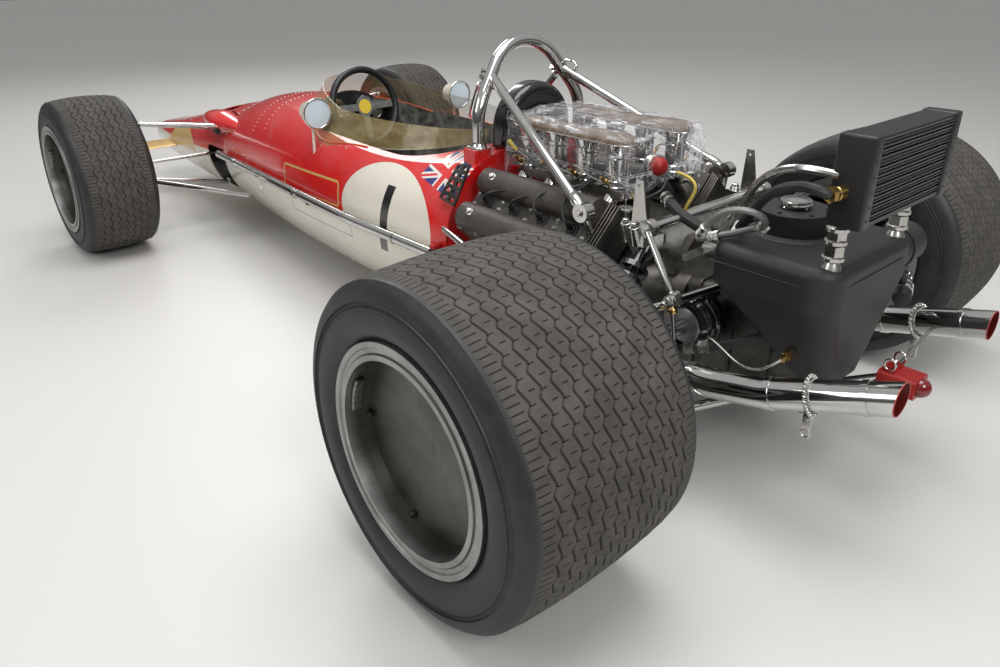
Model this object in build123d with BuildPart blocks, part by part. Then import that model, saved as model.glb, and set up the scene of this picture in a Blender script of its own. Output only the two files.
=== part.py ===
from build123d import *
import os
from math import cos, radians, sin

# Open wheel grand prix car of the late nineteen sixties, a vee eight behind the driver.
# Millimetres. X points forward, Y to the car's left, Z up. The origin is on the floor,
# under the middle of the overall box. Lengths called station run forward from the rear axle.

os.makedirs("parts", exist_ok=True)

# Overall layout
overall_length = 4000
rear_overhang = 505
wheelbase = 2490
front_track = 1550
rear_track = 1556
rear_axle = rear_overhang - overall_length / 2
nose_station = overall_length - rear_overhang
sides = (("left", 1), ("right", -1))
gap = 0.3

# Wheels and tyres
rear_tyre_diameter = 658
rear_tyre_width = 420
front_tyre_diameter = 626
front_tyre_width = 290
shoulder_inset = 34
shoulder_drop = 9
rim_flange_radius = 214
rim_flange_thickness = 9
rim_barrel_radius = 193
rim_lip_radius = 181
rim_wall = 8
dish_wall_depth = 52
dish_depth = 66
disc_thickness = 7
brake_disc_radius = 140
brake_disc_thickness = 12
brake_disc_inset = 78
hub_radius = 34

# Hull
hull_wall = 5
tub_rear_station = 690
bulkhead_setback = 50
tub_front_station = wheelbase - bulkhead_setback
nose_length = nose_station - tub_front_station
pipe_diameter = 33
pipe_height = 352
cockpit_rear_station = 800
cockpit_front_station = 1790
cockpit_half_width = 262
tub_inner_half_width = 240
tub_floor_thickness = 14
screen_thickness = 4

# Steering
kingpin_offset = 605
upper_joint_height = 492
lower_joint_height = 256
steering_arm_length = 105
steering_arm_height = 300
rack_half_width = 235
rack_station = wheelbase + steering_arm_length
rack_height = steering_arm_height + 2
tie_rod_diameter = 14
tie_rod_eye_radius = 16
tie_rod_eye_bore = 11
steering_wheel_diameter = 300
steering_wheel_station = 1640
steering_wheel_height = 605
steering_wheel_rake = 14
column_diameter = 20
column_length = 330

# Roll hoop
hoop_tube = 36
stay_tube = 26
hoop_station = 690
hoop_half_width = 203
hoop_base_height = 628
hoop_top_height = 903
hoop_lean = 72
hoop_bend = 145

# Engine
crank_height = 238
bank_angle = 45
bank_reach = 270
head_reach = 385
head_half_width = 98
cam_spacing = 57
cam_cover_radius = 37
engine_rear_station = 170
head_front_station = 655
head_rear_station = 225
bore_pitch = 104
first_bore_station = 597
trumpet_offset = 118
trumpet_top = 700
throttle_height = 590
trumpet_bore = 46
trumpet_mouth = 66

# Exhaust and rear end
primary_diameter = 42
tailpipe_diameter = 66
tailpipe_wall = 2
tip_offset = 235
tip_height = 378
tank_front_station = -40
tank_rear_station = -330
tank_top = 552
tank_half_width = 196
collar_radius = 79
collar_height = 52
cooler_station = -325
cooler_half_width = 196
cooler_bottom = 652
cooler_top = 822
cooler_thickness = 62


def at(station, across=0, height=0):
    """Gives the car's own coordinates of a place named by its station."""
    return (rear_axle + station, across, height)


def finish(piece, name):
    """Labels one finished sub-part and writes its file."""
    piece.part.label = name
    export_step(piece.part, f"parts/{name}.step")


def bar(points, diameter, bend=None, mode=Mode.ADD):
    """Sweeps a round bar through the points, into or out of the part being built."""
    with BuildLine() as route:
        if len(points) > 2:
            FilletPolyline(*points, radius=bend)
        else:
            Line(*points)
    with BuildSketch(Plane(origin=route.line @ 0, z_dir=route.line % 0)) as ring:
        Circle(diameter / 2)
    sweep(sections=ring.sketch, path=route.line, mode=mode)


def ball(place, diameter):
    """Adds a round joint at a place."""
    with Locations(place):
        Sphere(diameter / 2)


def bridge(first, second, share):
    """Gives the point a share of the way from the first place to the second."""
    return tuple(a + (b - a) * share for a, b in zip(first, second))


def hull_face(station, half_width, widest, floor, floor_half, roof, roof_half, crown, inset=0):
    """Draws one cross section of the hull, smaller all round by the inset."""
    low = floor + inset
    high = roof - inset
    belly = floor_half - inset
    flank = half_width - inset
    shoulder = roof_half - inset
    lower_mid = ((belly + flank) / 2 + (flank - belly) * 0.22, low + (widest - low) * 0.42)
    upper_mid = ((shoulder + flank) / 2 + (flank - shoulder) * 0.24, widest + (high - widest) * 0.58)
    with BuildSketch(Plane.YZ.offset(rear_axle + station)) as face:
        with BuildLine():
            Line((-belly, low), (belly, low))
            ThreePointArc((belly, low), lower_mid, (flank, widest))
            ThreePointArc((flank, widest), upper_mid, (shoulder, high))
            ThreePointArc((shoulder, high), (0, high + crown), (-shoulder, high))
            ThreePointArc((-shoulder, high), (-upper_mid[0], upper_mid[1]), (-flank, widest))
            ThreePointArc((-flank, widest), (-lower_mid[0], lower_mid[1]), (-belly, low))
        make_face()
    return face.sketch


def well_face(station, half_width, waist, floor, roof, roof_half, crown):
    """Draws one cross section of the space inside the tub."""
    with BuildSketch(Plane.YZ.offset(rear_axle + station)) as face:
        with BuildLine():
            Polyline((-roof_half, roof), (-half_width, waist), (-half_width, floor),
                     (half_width, floor), (half_width, waist), (roof_half, roof))
            ThreePointArc((roof_half, roof), (0, roof + crown), (-roof_half, roof))
        make_face()
    return face.sketch


# Hull sections: station, half width, height of the widest line, floor, half width of the floor,
# roof, half width of the roof, crown of the roof
tub_sections = (
    (tub_rear_station, 352, 372, 120, 236, 600, 214, 30),
    (1150, 360, 366, 106, 246, 556, 290, 40),
    (1780, 322, 356, 100, 222, 590, 205, 32),
    (tub_front_station, 262, 330, 116, 172, 512, 122, 26),
)
# Inner space of the tub: station, half width, waist, floor, roof, half width of the roof, crown
well_sections = (
    (cockpit_rear_station, tub_inner_half_width, 400, 118 + tub_floor_thickness, 540, 200, 30),
    (1780, tub_inner_half_width - 15, 400, 100 + tub_floor_thickness, 570, 180, 32),
    (tub_front_station + 1, 150, 380, 120 + tub_floor_thickness, 490, 96, 26),
)
nose_sections = (
    (tub_front_station, 262, 328, 118, 172, 510, 122, 26),
    (tub_front_station + 0.4 * nose_length, 262, 300, 146, 190, 432, 140, 20),
    (tub_front_station + 0.75 * nose_length, 240, 272, 176, 196, 356, 150, 14),
    (nose_station, 205, 258, 198, 182, 312, 160, 8),
)

# The monocoque tub, hollow from the seat bulkhead to the front bulkhead
with BuildPart() as tub_outline:
    loft(sections=[hull_face(*row) for row in tub_sections])
with BuildPart() as monocoque:
    add(tub_outline.part)
    with BuildSketch(Plane.XY.offset(tub_sections[1][3] + tub_floor_thickness + 180)):
        with Locations(at((cockpit_rear_station + cockpit_front_station) / 2)[:2]):
            SlotOverall(cockpit_front_station - cockpit_rear_station, 2 * cockpit_half_width)
    extrude(amount=500, mode=Mode.SUBTRACT)
    loft(sections=[well_face(*row) for row in well_sections], mode=Mode.SUBTRACT)
    # Feet of the roll hoop, level with the top of the seat bulkhead
    for side in (1, -1):
        with BuildSketch(Plane.XY.offset(560)):
            with Locations(at(hoop_station + 32, side * (hoop_half_width + 2))[:2]):
                RectangleRounded(60, 62, 10)
        extrude(amount=hoop_base_height - 560)
finish(monocoque, "monocoque")

# The nose cone, open at the mouth and at the back, with two outlets on top
with BuildPart() as nose_outline:
    loft(sections=[hull_face(*row) for row in nose_sections])
with BuildPart() as nose_cone:
    add(nose_outline.part)
    loft(sections=[hull_face(*row, inset=hull_wall) for row in nose_sections], mode=Mode.SUBTRACT)
    for side in (1, -1):
        with BuildSketch(Plane.XY.offset(300)):
            with Locations(at(wheelbase + 190, side * 78)[:2]):
                RectangleRounded(190, 104, 30)
        extrude(amount=400, mode=Mode.SUBTRACT)
    # Openings in both flanks for the rocker arms, and for the wishbones and tie rods
    with BuildSketch(Plane.XZ):
        with Locations(at(wheelbase, 0, 450)[::2]):
            RectangleRounded(150, 76, 20)
        with Locations(at(wheelbase + 15, 0, 250)[::2]):
            RectangleRounded(236, 186, 30)
    extrude(amount=400, both=True, mode=Mode.SUBTRACT)
finish(nose_cone, "nose_cone")

# The water radiator that closes the nose duct
radiator_reach = 425
radiator_station = rack_station + radiator_reach
radiator_height = 285
radiator_width = 360
radiator_depth = 190
radiator_thickness = 48
core_rows = 14
core_pitch = 12
ear_inset = 12
ear_thickness = 10
with BuildPart() as radiator:
    with BuildSketch(Plane.YZ.offset(rear_axle + radiator_station)):
        with Locations((0, radiator_height)):
            RectangleRounded(radiator_width, radiator_depth, 8)
    extrude(amount=-radiator_thickness)
    with BuildSketch(Plane.YZ.offset(rear_axle + radiator_station)):
        with Locations((0, radiator_height)):
            with GridLocations(0, core_pitch, 1, core_rows):
                Rectangle(radiator_width - 30, core_pitch / 2)
    extrude(amount=-4, mode=Mode.SUBTRACT)
    # Ears reach the walls of the duct
    with BuildSketch(Plane.YZ.offset(rear_axle + radiator_station - ear_inset)):
        with Locations((0, radiator_height)):
            Rectangle(600, 30)
    extrude(amount=-ear_thickness)
    loft(sections=[hull_face(*row, inset=hull_wall) for row in nose_sections], mode=Mode.INTERSECT)
finish(radiator, "radiator")

# Front wings, one each side of the nose
canard_station = nose_station - 345
canard_height = 262
canard_span = 250
canard_chord = 190
canard_root = 236
canard_half_thickness = 8
end_plate_height = 56
end_plate_thickness = 4
with BuildPart() as canards:
    for side in (1, -1):
        with BuildSketch(Plane.XZ.offset(-side * canard_root)):
            with Locations(at(canard_station, 0, canard_height)[::2]):
                Ellipse(canard_chord / 2, canard_half_thickness)
        extrude(amount=-side * canard_span)
        with BuildSketch(Plane.XZ.offset(-side * (canard_root + canard_span))):
            with Locations(at(canard_station, 0, canard_height)[::2]):
                SlotOverall(canard_chord + 30, end_plate_height)
        extrude(amount=-side * end_plate_thickness)
    add(nose_outline.part, mode=Mode.SUBTRACT)
finish(canards, "canards")

# The wrap round windscreen stands on the cockpit rim
screen_middle = 1370
screen_lean = 35
screen_foot_height = 500
screen_rim_height = 760
screen_foot = (585, 318)
screen_rim = (430, 178)
with BuildPart() as windscreen:
    with BuildSketch(Plane.XY.offset(screen_foot_height)):
        with Locations(at(screen_middle)[:2]):
            Ellipse(*screen_foot)
    with BuildSketch(Plane.XY.offset(screen_rim_height)):
        with Locations(at(screen_middle - screen_lean)[:2]):
            Ellipse(*screen_rim)
    loft()
    with BuildSketch(Plane.XY.offset(screen_foot_height - 1)):
        with Locations(at(screen_middle)[:2]):
            Ellipse(*(half - screen_thickness for half in screen_foot))
    with BuildSketch(Plane.XY.offset(screen_rim_height + 1)):
        with Locations(at(screen_middle - screen_lean)[:2]):
            Ellipse(*(half - screen_thickness for half in screen_rim))
    loft(mode=Mode.SUBTRACT)
    add(tub_outline.part, mode=Mode.SUBTRACT)
    with BuildSketch(Plane.XZ):
        with BuildLine():
            Polyline(at(700, 0, 400)[::2], at(820, 0, 400)[::2], at(860, 0, 640)[::2],
                     at(1420, 0, 652)[::2], at(1900, 0, 726)[::2], at(2100, 0, 900)[::2],
                     at(700, 0, 900)[::2], close=True)
        make_face()
    extrude(amount=400, both=True, mode=Mode.SUBTRACT)
finish(windscreen, "windscreen")

# Seat: a reclined shell in the well of the tub
with BuildPart() as seat:
    with BuildSketch(Plane.XZ):
        with BuildLine():
            FilletPolyline(at(822, 0, 500)[::2], at(1040, 0, 124)[::2], at(1440, 0, 116)[::2],
                           radius=70)
            offset(amount=14, side=Side.LEFT)
        make_face()
    extrude(amount=190, both=True)
    add(monocoque.part, mode=Mode.SUBTRACT)
finish(seat, "seat")

# The domed pad behind the driver's head, inside the roll hoop
rest_half_width = 128
rest_bottom = 600
rest_shoulder = 660
rest_top = 792
rest_setback = 8
rest_thickness = 70
with BuildPart() as headrest:
    with BuildSketch(Plane.YZ.offset(rear_axle + hoop_station - rest_setback)):
        with BuildLine():
            Polyline((-rest_half_width, rest_shoulder), (-rest_half_width, rest_bottom),
                     (rest_half_width, rest_bottom), (rest_half_width, rest_shoulder))
            ThreePointArc((rest_half_width, rest_shoulder), (0, rest_top), (-rest_half_width, rest_shoulder))
        make_face()
    extrude(amount=rest_thickness)
    fillet(headrest.edges().filter_by(GeomType.CIRCLE), radius=18)
    add(monocoque.part, mode=Mode.SUBTRACT)
finish(headrest, "headrest")

# Instrument panel under the scuttle, with the sleeve that holds the steering column
dash_station = 1765
dash_thickness = 10
gauge_depth = 16
gauges = (
    # across, height, radius
    (-118, 556, 22), (-62, 590, 34), (62, 590, 34), (118, 556, 22),
)
column_sleeve_radius = 20
column_sleeve_start = 112
column_sleeve_length = 50
wheel_centre = at(steering_wheel_station, 0, steering_wheel_height)
rake = radians(steering_wheel_rake)
wheel_axis = (cos(rake), 0, -sin(rake))
steering_plane = Plane(origin=wheel_centre, x_dir=(0, 1, 0), z_dir=wheel_axis)
with BuildPart() as dash_panel:
    with BuildSketch(Plane.YZ.offset(rear_axle + dash_station)):
        with BuildLine():
            Polyline((-190, 545), (-150, 480), (150, 480), (190, 545))
            ThreePointArc((190, 545), (0, 650), (-190, 545))
        make_face()
    extrude(amount=dash_thickness)
    for across, height, radius in gauges:
        with BuildSketch(Plane.YZ.offset(rear_axle + dash_station)):
            with Locations((across, height)):
                Circle(radius)
        extrude(amount=-gauge_depth)
    with BuildSketch(steering_plane.offset(column_sleeve_start)):
        Circle(column_sleeve_radius)
    extrude(amount=column_sleeve_length)
    with BuildSketch(steering_plane):
        Circle(column_diameter / 2 + gap)
    extrude(amount=column_length, mode=Mode.SUBTRACT)
    add(monocoque.part, mode=Mode.SUBTRACT)
finish(dash_panel, "dash_panel")

# Mirrors on short stalks
mirror_station = 1445
mirror_height = 640
mirror_offset = 308
mirror_radius = 54
mirror_depth = 62
mirror_lip = 6
mirror_recess = 4
stalk_setback = 40
stalk_diameter = 10
with BuildPart() as mirrors:
    for side in (1, -1):
        with BuildSketch(Plane.YZ.offset(rear_axle + mirror_station)):
            with Locations((side * mirror_offset, mirror_height)):
                Circle(mirror_radius)
        with BuildSketch(Plane.YZ.offset(rear_axle + mirror_station + mirror_depth)):
            with Locations((side * mirror_offset, mirror_height)):
                Circle(mirror_radius * 0.66)
        loft()
        with BuildSketch(Plane.YZ.offset(rear_axle + mirror_station)):
            with Locations((side * mirror_offset, mirror_height)):
                Circle(mirror_radius - mirror_lip)
        extrude(amount=mirror_recess, mode=Mode.SUBTRACT)
        bar([at(mirror_station + stalk_setback, side * mirror_offset, mirror_height - 35),
             at(mirror_station + stalk_setback, side * (mirror_offset + 4), 470)], stalk_diameter)
    add(tub_outline.part, mode=Mode.SUBTRACT)
finish(mirrors, "mirrors")

# Roll hoop
leg_station = hoop_station + 30
hoop_shoulder_height = 735
hoop_crown_half = 74
with BuildPart() as roll_hoop:
    bar([at(leg_station, hoop_half_width, hoop_base_height),
         at(leg_station, hoop_half_width, hoop_shoulder_height),
         at(leg_station + hoop_lean * 0.5, hoop_crown_half, hoop_top_height),
         at(leg_station + hoop_lean * 0.5, -hoop_crown_half, hoop_top_height),
         at(leg_station, -hoop_half_width, hoop_shoulder_height),
         at(leg_station, -hoop_half_width, hoop_base_height)], hoop_tube, hoop_bend)
finish(roll_hoop, "roll_hoop")

# Chrome pipe along each flank
with BuildPart() as side_pipes:
    for side in (1, -1):
        bar([at(700, side * 372, pipe_height), at(1150, side * 383, pipe_height),
             at(1780, side * 347, pipe_height - 4),
             at(tub_front_station - 10, side * 288, pipe_height - 22)],
            pipe_diameter, 900)
        for station, across in ((740, 364), (1450, 362), (tub_front_station - 290, 306)):
            with BuildSketch(Plane.YZ.offset(rear_axle + station)):
                with Locations((side * across, pipe_height - station / 90 + 8)):
                    Rectangle(26, 30)
            extrude(amount=18)
    add(tub_outline.part, mode=Mode.SUBTRACT)
finish(side_pipes, "side_pipes")


def bank_point(reach, across, side):
    """Gives Y and Z of a place on a cylinder bank, by its reach from the crank."""
    lean = radians(bank_angle)
    return (side * (reach * sin(lean) + across * cos(lean)),
            crank_height + reach * cos(lean) - across * sin(lean))


def bank_outline(side, near, far, half_width, centre=0):
    """Gives the corners of a block on a cylinder bank."""
    corners = ((near, centre - half_width), (far, centre - half_width),
               (far, centre + half_width), (near, centre + half_width))
    return [bank_point(reach, across, side) for reach, across in corners]


# Crankcase with both banks up to the head joint
with BuildPart() as engine_block:
    with BuildSketch(Plane.YZ.offset(rear_axle + engine_rear_station)):
        Polygon((-120, 112), (120, 112), (165, 190), (165, 250), (-165, 250), (-165, 190),
                align=None)
        for side in (1, -1):
            Polygon(*bank_outline(side, 0, bank_reach, 86), align=None)
    extrude(amount=tub_rear_station - engine_rear_station)
finish(engine_block, "engine_block")

# Cylinder heads with plug wells, and the cam covers on them
well_radius = 15
well_depth = 26
cover_inset = 12
cover_foot = 14
cover_rise = 42
with BuildPart() as cylinder_heads:
    for side in (1, -1):
        with BuildSketch(Plane.YZ.offset(rear_axle + head_rear_station)):
            Polygon(*bank_outline(side, bank_reach, head_reach, head_half_width), align=None)
        extrude(amount=head_front_station - head_rear_station)
        for bore in range(4):
            y, z = bank_point(head_reach, 0, side)
            well = Plane(origin=at(first_bore_station - bore * bore_pitch, y, z),
                         z_dir=(0, side * sin(radians(bank_angle)), cos(radians(bank_angle))))
            with BuildSketch(well):
                Circle(well_radius)
            extrude(amount=-well_depth, mode=Mode.SUBTRACT)
finish(cylinder_heads, "cylinder_heads")
with BuildPart() as cam_covers:
    for side in (1, -1):
        for across in (-cam_spacing, cam_spacing):
            with BuildSketch(Plane.YZ.offset(rear_axle + head_rear_station + cover_inset)):
                with BuildLine():
                    foot = bank_outline(side, head_reach, head_reach + cover_foot, cam_cover_radius, across)
                    Polyline(foot[1], foot[0], foot[3], foot[2])
                    ThreePointArc(foot[2], bank_point(head_reach + cover_rise, across, side), foot[1])
                make_face()
            extrude(amount=head_front_station - head_rear_station - 2 * cover_inset)
finish(cam_covers, "cam_covers")

# Two long stays from the hoop to the rear ends of the heads
stay_foot = (232, 292, 572)
stay_top = (hoop_station + 46, 138, 818)
stay_eye_radius = 22
stay_eye_half_width = 15
stay_lug_diameter = 18
with BuildPart() as hoop_stays:
    for side in (1, -1):
        top = at(stay_top[0], side * stay_top[1], stay_top[2])
        foot = at(stay_foot[0], side * stay_foot[1], stay_foot[2])
        bar([top, foot], stay_tube)
        with BuildSketch(Plane(origin=foot, x_dir=(1, 0, 0), z_dir=(0, side, 0))):
            Circle(stay_eye_radius)
        extrude(amount=stay_eye_half_width, both=True)
        bar([foot, at(stay_foot[0] - 6, side * (stay_foot[1] - 24), stay_foot[2] - 68)], stay_lug_diameter)
    add(roll_hoop.part, mode=Mode.SUBTRACT)
    add(cylinder_heads.part, mode=Mode.SUBTRACT)
    add(cam_covers.part, mode=Mode.SUBTRACT)
finish(hoop_stays, "hoop_stays")

# Intakes: a throttle slide on each bank with four trumpets
slide_thickness = 22
slide_width = 62
trumpet_wall = 3
trumpet_flare = 26
with BuildPart() as intakes:
    for side in (1, -1):
        with BuildSketch(Plane.XY.offset(throttle_height - slide_thickness)):
            with Locations(at((head_front_station + head_rear_station) / 2, side * trumpet_offset)[:2]):
                RectangleRounded(head_front_station - head_rear_station - 20, slide_width, 8)
        extrude(amount=slide_thickness)
        port = bank_point(head_reach - 60, -head_half_width, side)
        for bore in range(4):
            station = first_bore_station - bore * bore_pitch
            with BuildSketch(Plane(origin=at(station, side * trumpet_offset, throttle_height))):
                Circle(trumpet_bore / 2 + trumpet_wall)
            extrude(amount=trumpet_top - throttle_height - trumpet_flare)
            with BuildSketch(Plane(origin=at(station, side * trumpet_offset, trumpet_top - trumpet_flare))):
                Circle(trumpet_bore / 2 + trumpet_wall)
            with BuildSketch(Plane(origin=at(station, side * trumpet_offset, trumpet_top))):
                Circle(trumpet_mouth / 2)
            loft()
            bar([at(station, side * trumpet_offset, throttle_height - 10),
                 at(station, port[0] + side * 14, port[1] - 14)], trumpet_bore - 6)
            with BuildSketch(Plane(origin=at(station, side * trumpet_offset, throttle_height - 12))):
                Circle(trumpet_bore / 2)
            extrude(amount=200, mode=Mode.SUBTRACT)
    add(cylinder_heads.part, mode=Mode.SUBTRACT)
finish(intakes, "intakes")

# Wire gauze domes over the trumpets
gauze_overlap = 5
gauze_rise = 30
gauze_end_radius = 18
with BuildPart() as trumpet_screens:
    for side in (1, -1):
        with BuildSketch(Plane.YZ.offset(rear_axle + head_rear_station + cover_inset)):
            with BuildLine():
                reach = trumpet_mouth / 2 + gauze_overlap
                middle = side * trumpet_offset
                foot = trumpet_top + gap
                Line((middle - reach, foot), (middle + reach, foot))
                ThreePointArc((middle + reach, foot), (middle, foot + gauze_rise), (middle - reach, foot))
            make_face()
        extrude(amount=head_front_station - head_rear_station - 2 * cover_inset)
    fillet(trumpet_screens.edges().filter_by(GeomType.CIRCLE), radius=gauze_end_radius)
finish(trumpet_screens, "trumpet_screens")

# Thin clear film laid over the intakes, open below
film_half_width = 162
film_bottom = 612
film_top = 742
film_end_clearance = 13
film_corner = 40
film_edge = 16
film_thickness = 2
with BuildPart() as intake_film:
    with BuildSketch(Plane.XY.offset(film_bottom)):
        with Locations(at((head_front_station + head_rear_station) / 2)[:2]):
            RectangleRounded(head_front_station - head_rear_station + 2 * film_end_clearance,
                             2 * film_half_width, film_corner)
    extrude(amount=film_top - film_bottom)
    fillet(intake_film.faces().sort_by(Axis.Z)[-1].edges(), radius=film_edge)
    offset(amount=-film_thickness, openings=intake_film.faces().sort_by(Axis.Z)[0])
finish(intake_film, "intake_film")

# Ignition unit at the front of the vee and the fuel unit at its rear
ignition_station = 626
ignition_shoulder = 575
ignition_top = 626
fuel_barrel_rear = 230
fuel_barrel_length = 215
fuel_barrel_radius = 26
fuel_barrel_height = 600
unit_foot = 330
with BuildPart() as ignition_unit:
    with BuildSketch(Plane(origin=at(ignition_station, 0, unit_foot))):
        Circle(34)
    extrude(amount=ignition_shoulder - unit_foot)
    with BuildSketch(Plane(origin=at(ignition_station, 0, ignition_shoulder))):
        Circle(46)
    with BuildSketch(Plane(origin=at(ignition_station, 0, ignition_top))):
        Circle(30)
    loft()
    add(engine_block.part, mode=Mode.SUBTRACT)
finish(ignition_unit, "ignition_unit")
with BuildPart() as fuel_unit:
    with BuildSketch(Plane.YZ.offset(rear_axle + fuel_barrel_rear)):
        with Locations((0, fuel_barrel_height)):
            Circle(fuel_barrel_radius)
    extrude(amount=fuel_barrel_length)
    with BuildSketch(Plane.XY.offset(unit_foot)):
        with Locations(at(fuel_barrel_rear + fuel_barrel_length / 2 + 2.5)[:2]):
            RectangleRounded(130, 40, 8)
    extrude(amount=fuel_barrel_height - 8 - unit_foot)
    add(engine_block.part, mode=Mode.SUBTRACT)
finish(fuel_unit, "fuel_unit")

# Exhausts: four primaries, a collector and a long tailpipe on each side
collector_station = 130
primary_rows = (
    # across and height of each primary where it runs back, from the front cylinder on
    (352, 300), (352, 346), (306, 300), (306, 346),
)
collector_end = 12
tailpipe_start = (36, 289, 262)
tailpipe_low = (-142, 281, 274)
tailpipe_bend = (-262, 268, 296)
tailpipe_bend_radius = 160
with BuildPart() as exhausts:
    for side in (1, -1):
        for bore, (across, height) in enumerate(primary_rows):
            station = first_bore_station - bore * bore_pitch
            port = bank_point(head_reach - 70, head_half_width, side)
            bar([at(station, port[0] - side * 14, port[1] + 14), at(station, side * across, height),
                 at(collector_station - 6, side * across, height)], primary_diameter, 24)
        with BuildSketch(Plane.YZ.offset(rear_axle + collector_station)):
            with Locations((side * 329, 323)):
                RectangleRounded(96, 96, 26)
        with BuildSketch(Plane.YZ.offset(rear_axle + collector_end)):
            with Locations((side * (tailpipe_start[1] - 1), tailpipe_start[2])):
                Circle(tailpipe_diameter / 2 + 3)
        loft()
        start, low, bend = (at(station, side * across, height) for station, across, height in
                            (tailpipe_start, tailpipe_low, tailpipe_bend))
        tip = at(-rear_overhang - 60, side * (tip_offset - 13), tip_height + 18)
        bar([start, low, bend, tip], tailpipe_diameter, tailpipe_bend_radius)
        bar([bridge(bend, tip, 0.3), tip], tailpipe_diameter - 2 * tailpipe_wall, mode=Mode.SUBTRACT)
    split(bisect_by=Plane.YZ.offset(-overall_length / 2), keep=Keep.TOP)
    add(cylinder_heads.part, mode=Mode.SUBTRACT)
finish(exhausts, "exhausts")

# Bell housing and gearbox
gearbox_height = 285
gearbox_rib_height = 242
gearbox_top = gearbox_height + gearbox_rib_height / 2
gearbox_half_width = 92
gearbox_front_station = 70
gearbox_rear_station = -265
with BuildPart() as gearbox:
    with BuildSketch(Plane.YZ.offset(rear_axle + engine_rear_station)):
        with Locations((0, 265)):
            RectangleRounded(330, 290, 70)
    with BuildSketch(Plane.YZ.offset(rear_axle + gearbox_front_station)):
        with Locations((0, gearbox_height)):
            RectangleRounded(200, 230, 50)
    loft()
    with BuildSketch(Plane.YZ.offset(rear_axle + gearbox_front_station)):
        with Locations((0, gearbox_height)):
            RectangleRounded(2 * gearbox_half_width - 12, 230, 24)
    extrude(amount=gearbox_rear_station - gearbox_front_station)
    for station in (40, -60, -160, -250):
        with BuildSketch(Plane.YZ.offset(rear_axle + station)):
            with Locations((0, gearbox_height)):
                RectangleRounded(2 * gearbox_half_width, gearbox_rib_height, 24)
        extrude(amount=-10)
    with BuildSketch(Plane.XZ):
        with Locations((rear_axle, rear_tyre_diameter / 2)):
            Circle(66)
    extrude(amount=112, both=True)
finish(gearbox, "gearbox")

# Alloy crossbeam over the bell housing, with the two upright blades on it
beam_station = 118
beam_half_width = 232
blade_offset = 226
hole_diameter = 8
hole_station = beam_station + 8
hole_height = rear_tyre_diameter - 13
with BuildPart() as rear_crossbeam:
    with BuildSketch(Plane.YZ.offset(rear_axle + beam_station - 18)):
        Polygon((-beam_half_width, 545), (-beam_half_width, 505), (-130, 478), (-96, 400), (96, 400),
                (130, 478), (beam_half_width, 505), (beam_half_width, 545), align=None)
        with Locations((0, 462)):
            RectangleRounded(150, 70, 20, mode=Mode.SUBTRACT)
    extrude(amount=36)
    for side in (1, -1):
        with BuildSketch(Plane.XZ.offset(-side * (blade_offset - 2))):
            Polygon(at(beam_station - 24, 0, 545)[::2], at(beam_station + 24, 0, 545)[::2],
                    at(hole_station + 10, 0, hole_height + 13)[::2],
                    at(hole_station - 10, 0, hole_height + 13)[::2], align=None)
            with Locations(at(hole_station, 0, hole_height)[::2]):
                Circle(hole_diameter / 2, mode=Mode.SUBTRACT)
        extrude(amount=-side * 4)
        with BuildSketch(Plane.XZ.offset(-side * (beam_half_width - 26))):
            Polygon(at(beam_station - 60, 0, 545)[::2], at(beam_station + 60, 0, 545)[::2],
                    at(beam_station + 60, 0, 520)[::2], at(beam_station + 20, 0, 470)[::2],
                    at(beam_station - 20, 0, 470)[::2], at(beam_station - 60, 0, 520)[::2], align=None)
        extrude(amount=-side * 8)
    add(gearbox.part, mode=Mode.SUBTRACT)
finish(rear_crossbeam, "rear_crossbeam")

# Oil tank on the gearbox: a rounded top, a funnel to the left and behind, a barrel to the right
tank_length = tank_front_station - tank_rear_station
tank_middle = (tank_front_station + tank_rear_station) / 2
tank_shoulder = 462
tank_bottom = 282
tank_corner = 60
barrel_radius = 50
barrel_station = -270
barrel_height = 498
barrel_end = 300
with BuildPart() as oil_tank:
    with BuildSketch(Plane.XY.offset(tank_shoulder)):
        with Locations(at(tank_middle)[:2]):
            RectangleRounded(tank_length, 2 * tank_half_width, tank_corner)
    extrude(amount=tank_top - tank_shoulder)
    fillet(oil_tank.faces().sort_by(Axis.Z)[-1].edges(), radius=24)
    with BuildSketch(Plane.XY.offset(tank_shoulder)):
        with Locations(at(tank_middle)[:2]):
            RectangleRounded(tank_length, 2 * tank_half_width, tank_corner)
    with BuildSketch(Plane.XY.offset(tank_bottom)):
        with Locations(at(tank_rear_station + 48, 56)[:2]):
            RectangleRounded(96, 150, 34)
    loft()
    with BuildSketch(Plane.XZ.offset(tank_half_width - tank_corner)):
        with Locations(at(barrel_station, 0, barrel_height)[::2]):
            Circle(barrel_radius)
    extrude(amount=barrel_end - tank_half_width + tank_corner)
    fillet(oil_tank.faces().sort_by(Axis.Y)[0].edges(), radius=18)
    # Strap round the barrel
    with BuildSketch(Plane.XZ.offset(tank_half_width + 18)):
        with Locations(at(barrel_station, 0, barrel_height)[::2]):
            Circle(barrel_radius + 3)
    extrude(amount=14)
    # Space for the gearbox, whose ribs carry the tank
    with BuildSketch(Plane.YZ.offset(rear_axle + gearbox_rear_station - 10)):
        with Locations((gearbox_half_width + 8, gearbox_top)):
            Rectangle(2 * tank_half_width, gearbox_top, align=(Align.MAX, Align.MAX))
    extrude(amount=-gearbox_rear_station, mode=Mode.SUBTRACT)
    with BuildSketch(Plane(origin=at(-132, 0, tank_top - 8))):
        Circle(collar_radius)
    extrude(amount=collar_height + 8)
finish(oil_tank, "oil_tank")
with BuildPart() as filler_cap:
    with BuildSketch(Plane(origin=at(-132, 0, tank_top + collar_height))):
        Circle(24)
    extrude(amount=10)
    with BuildSketch(Plane(origin=at(-132, 0, tank_top + collar_height + 10))):
        Circle(34)
    extrude(amount=11)
finish(filler_cap, "filler_cap")

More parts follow.
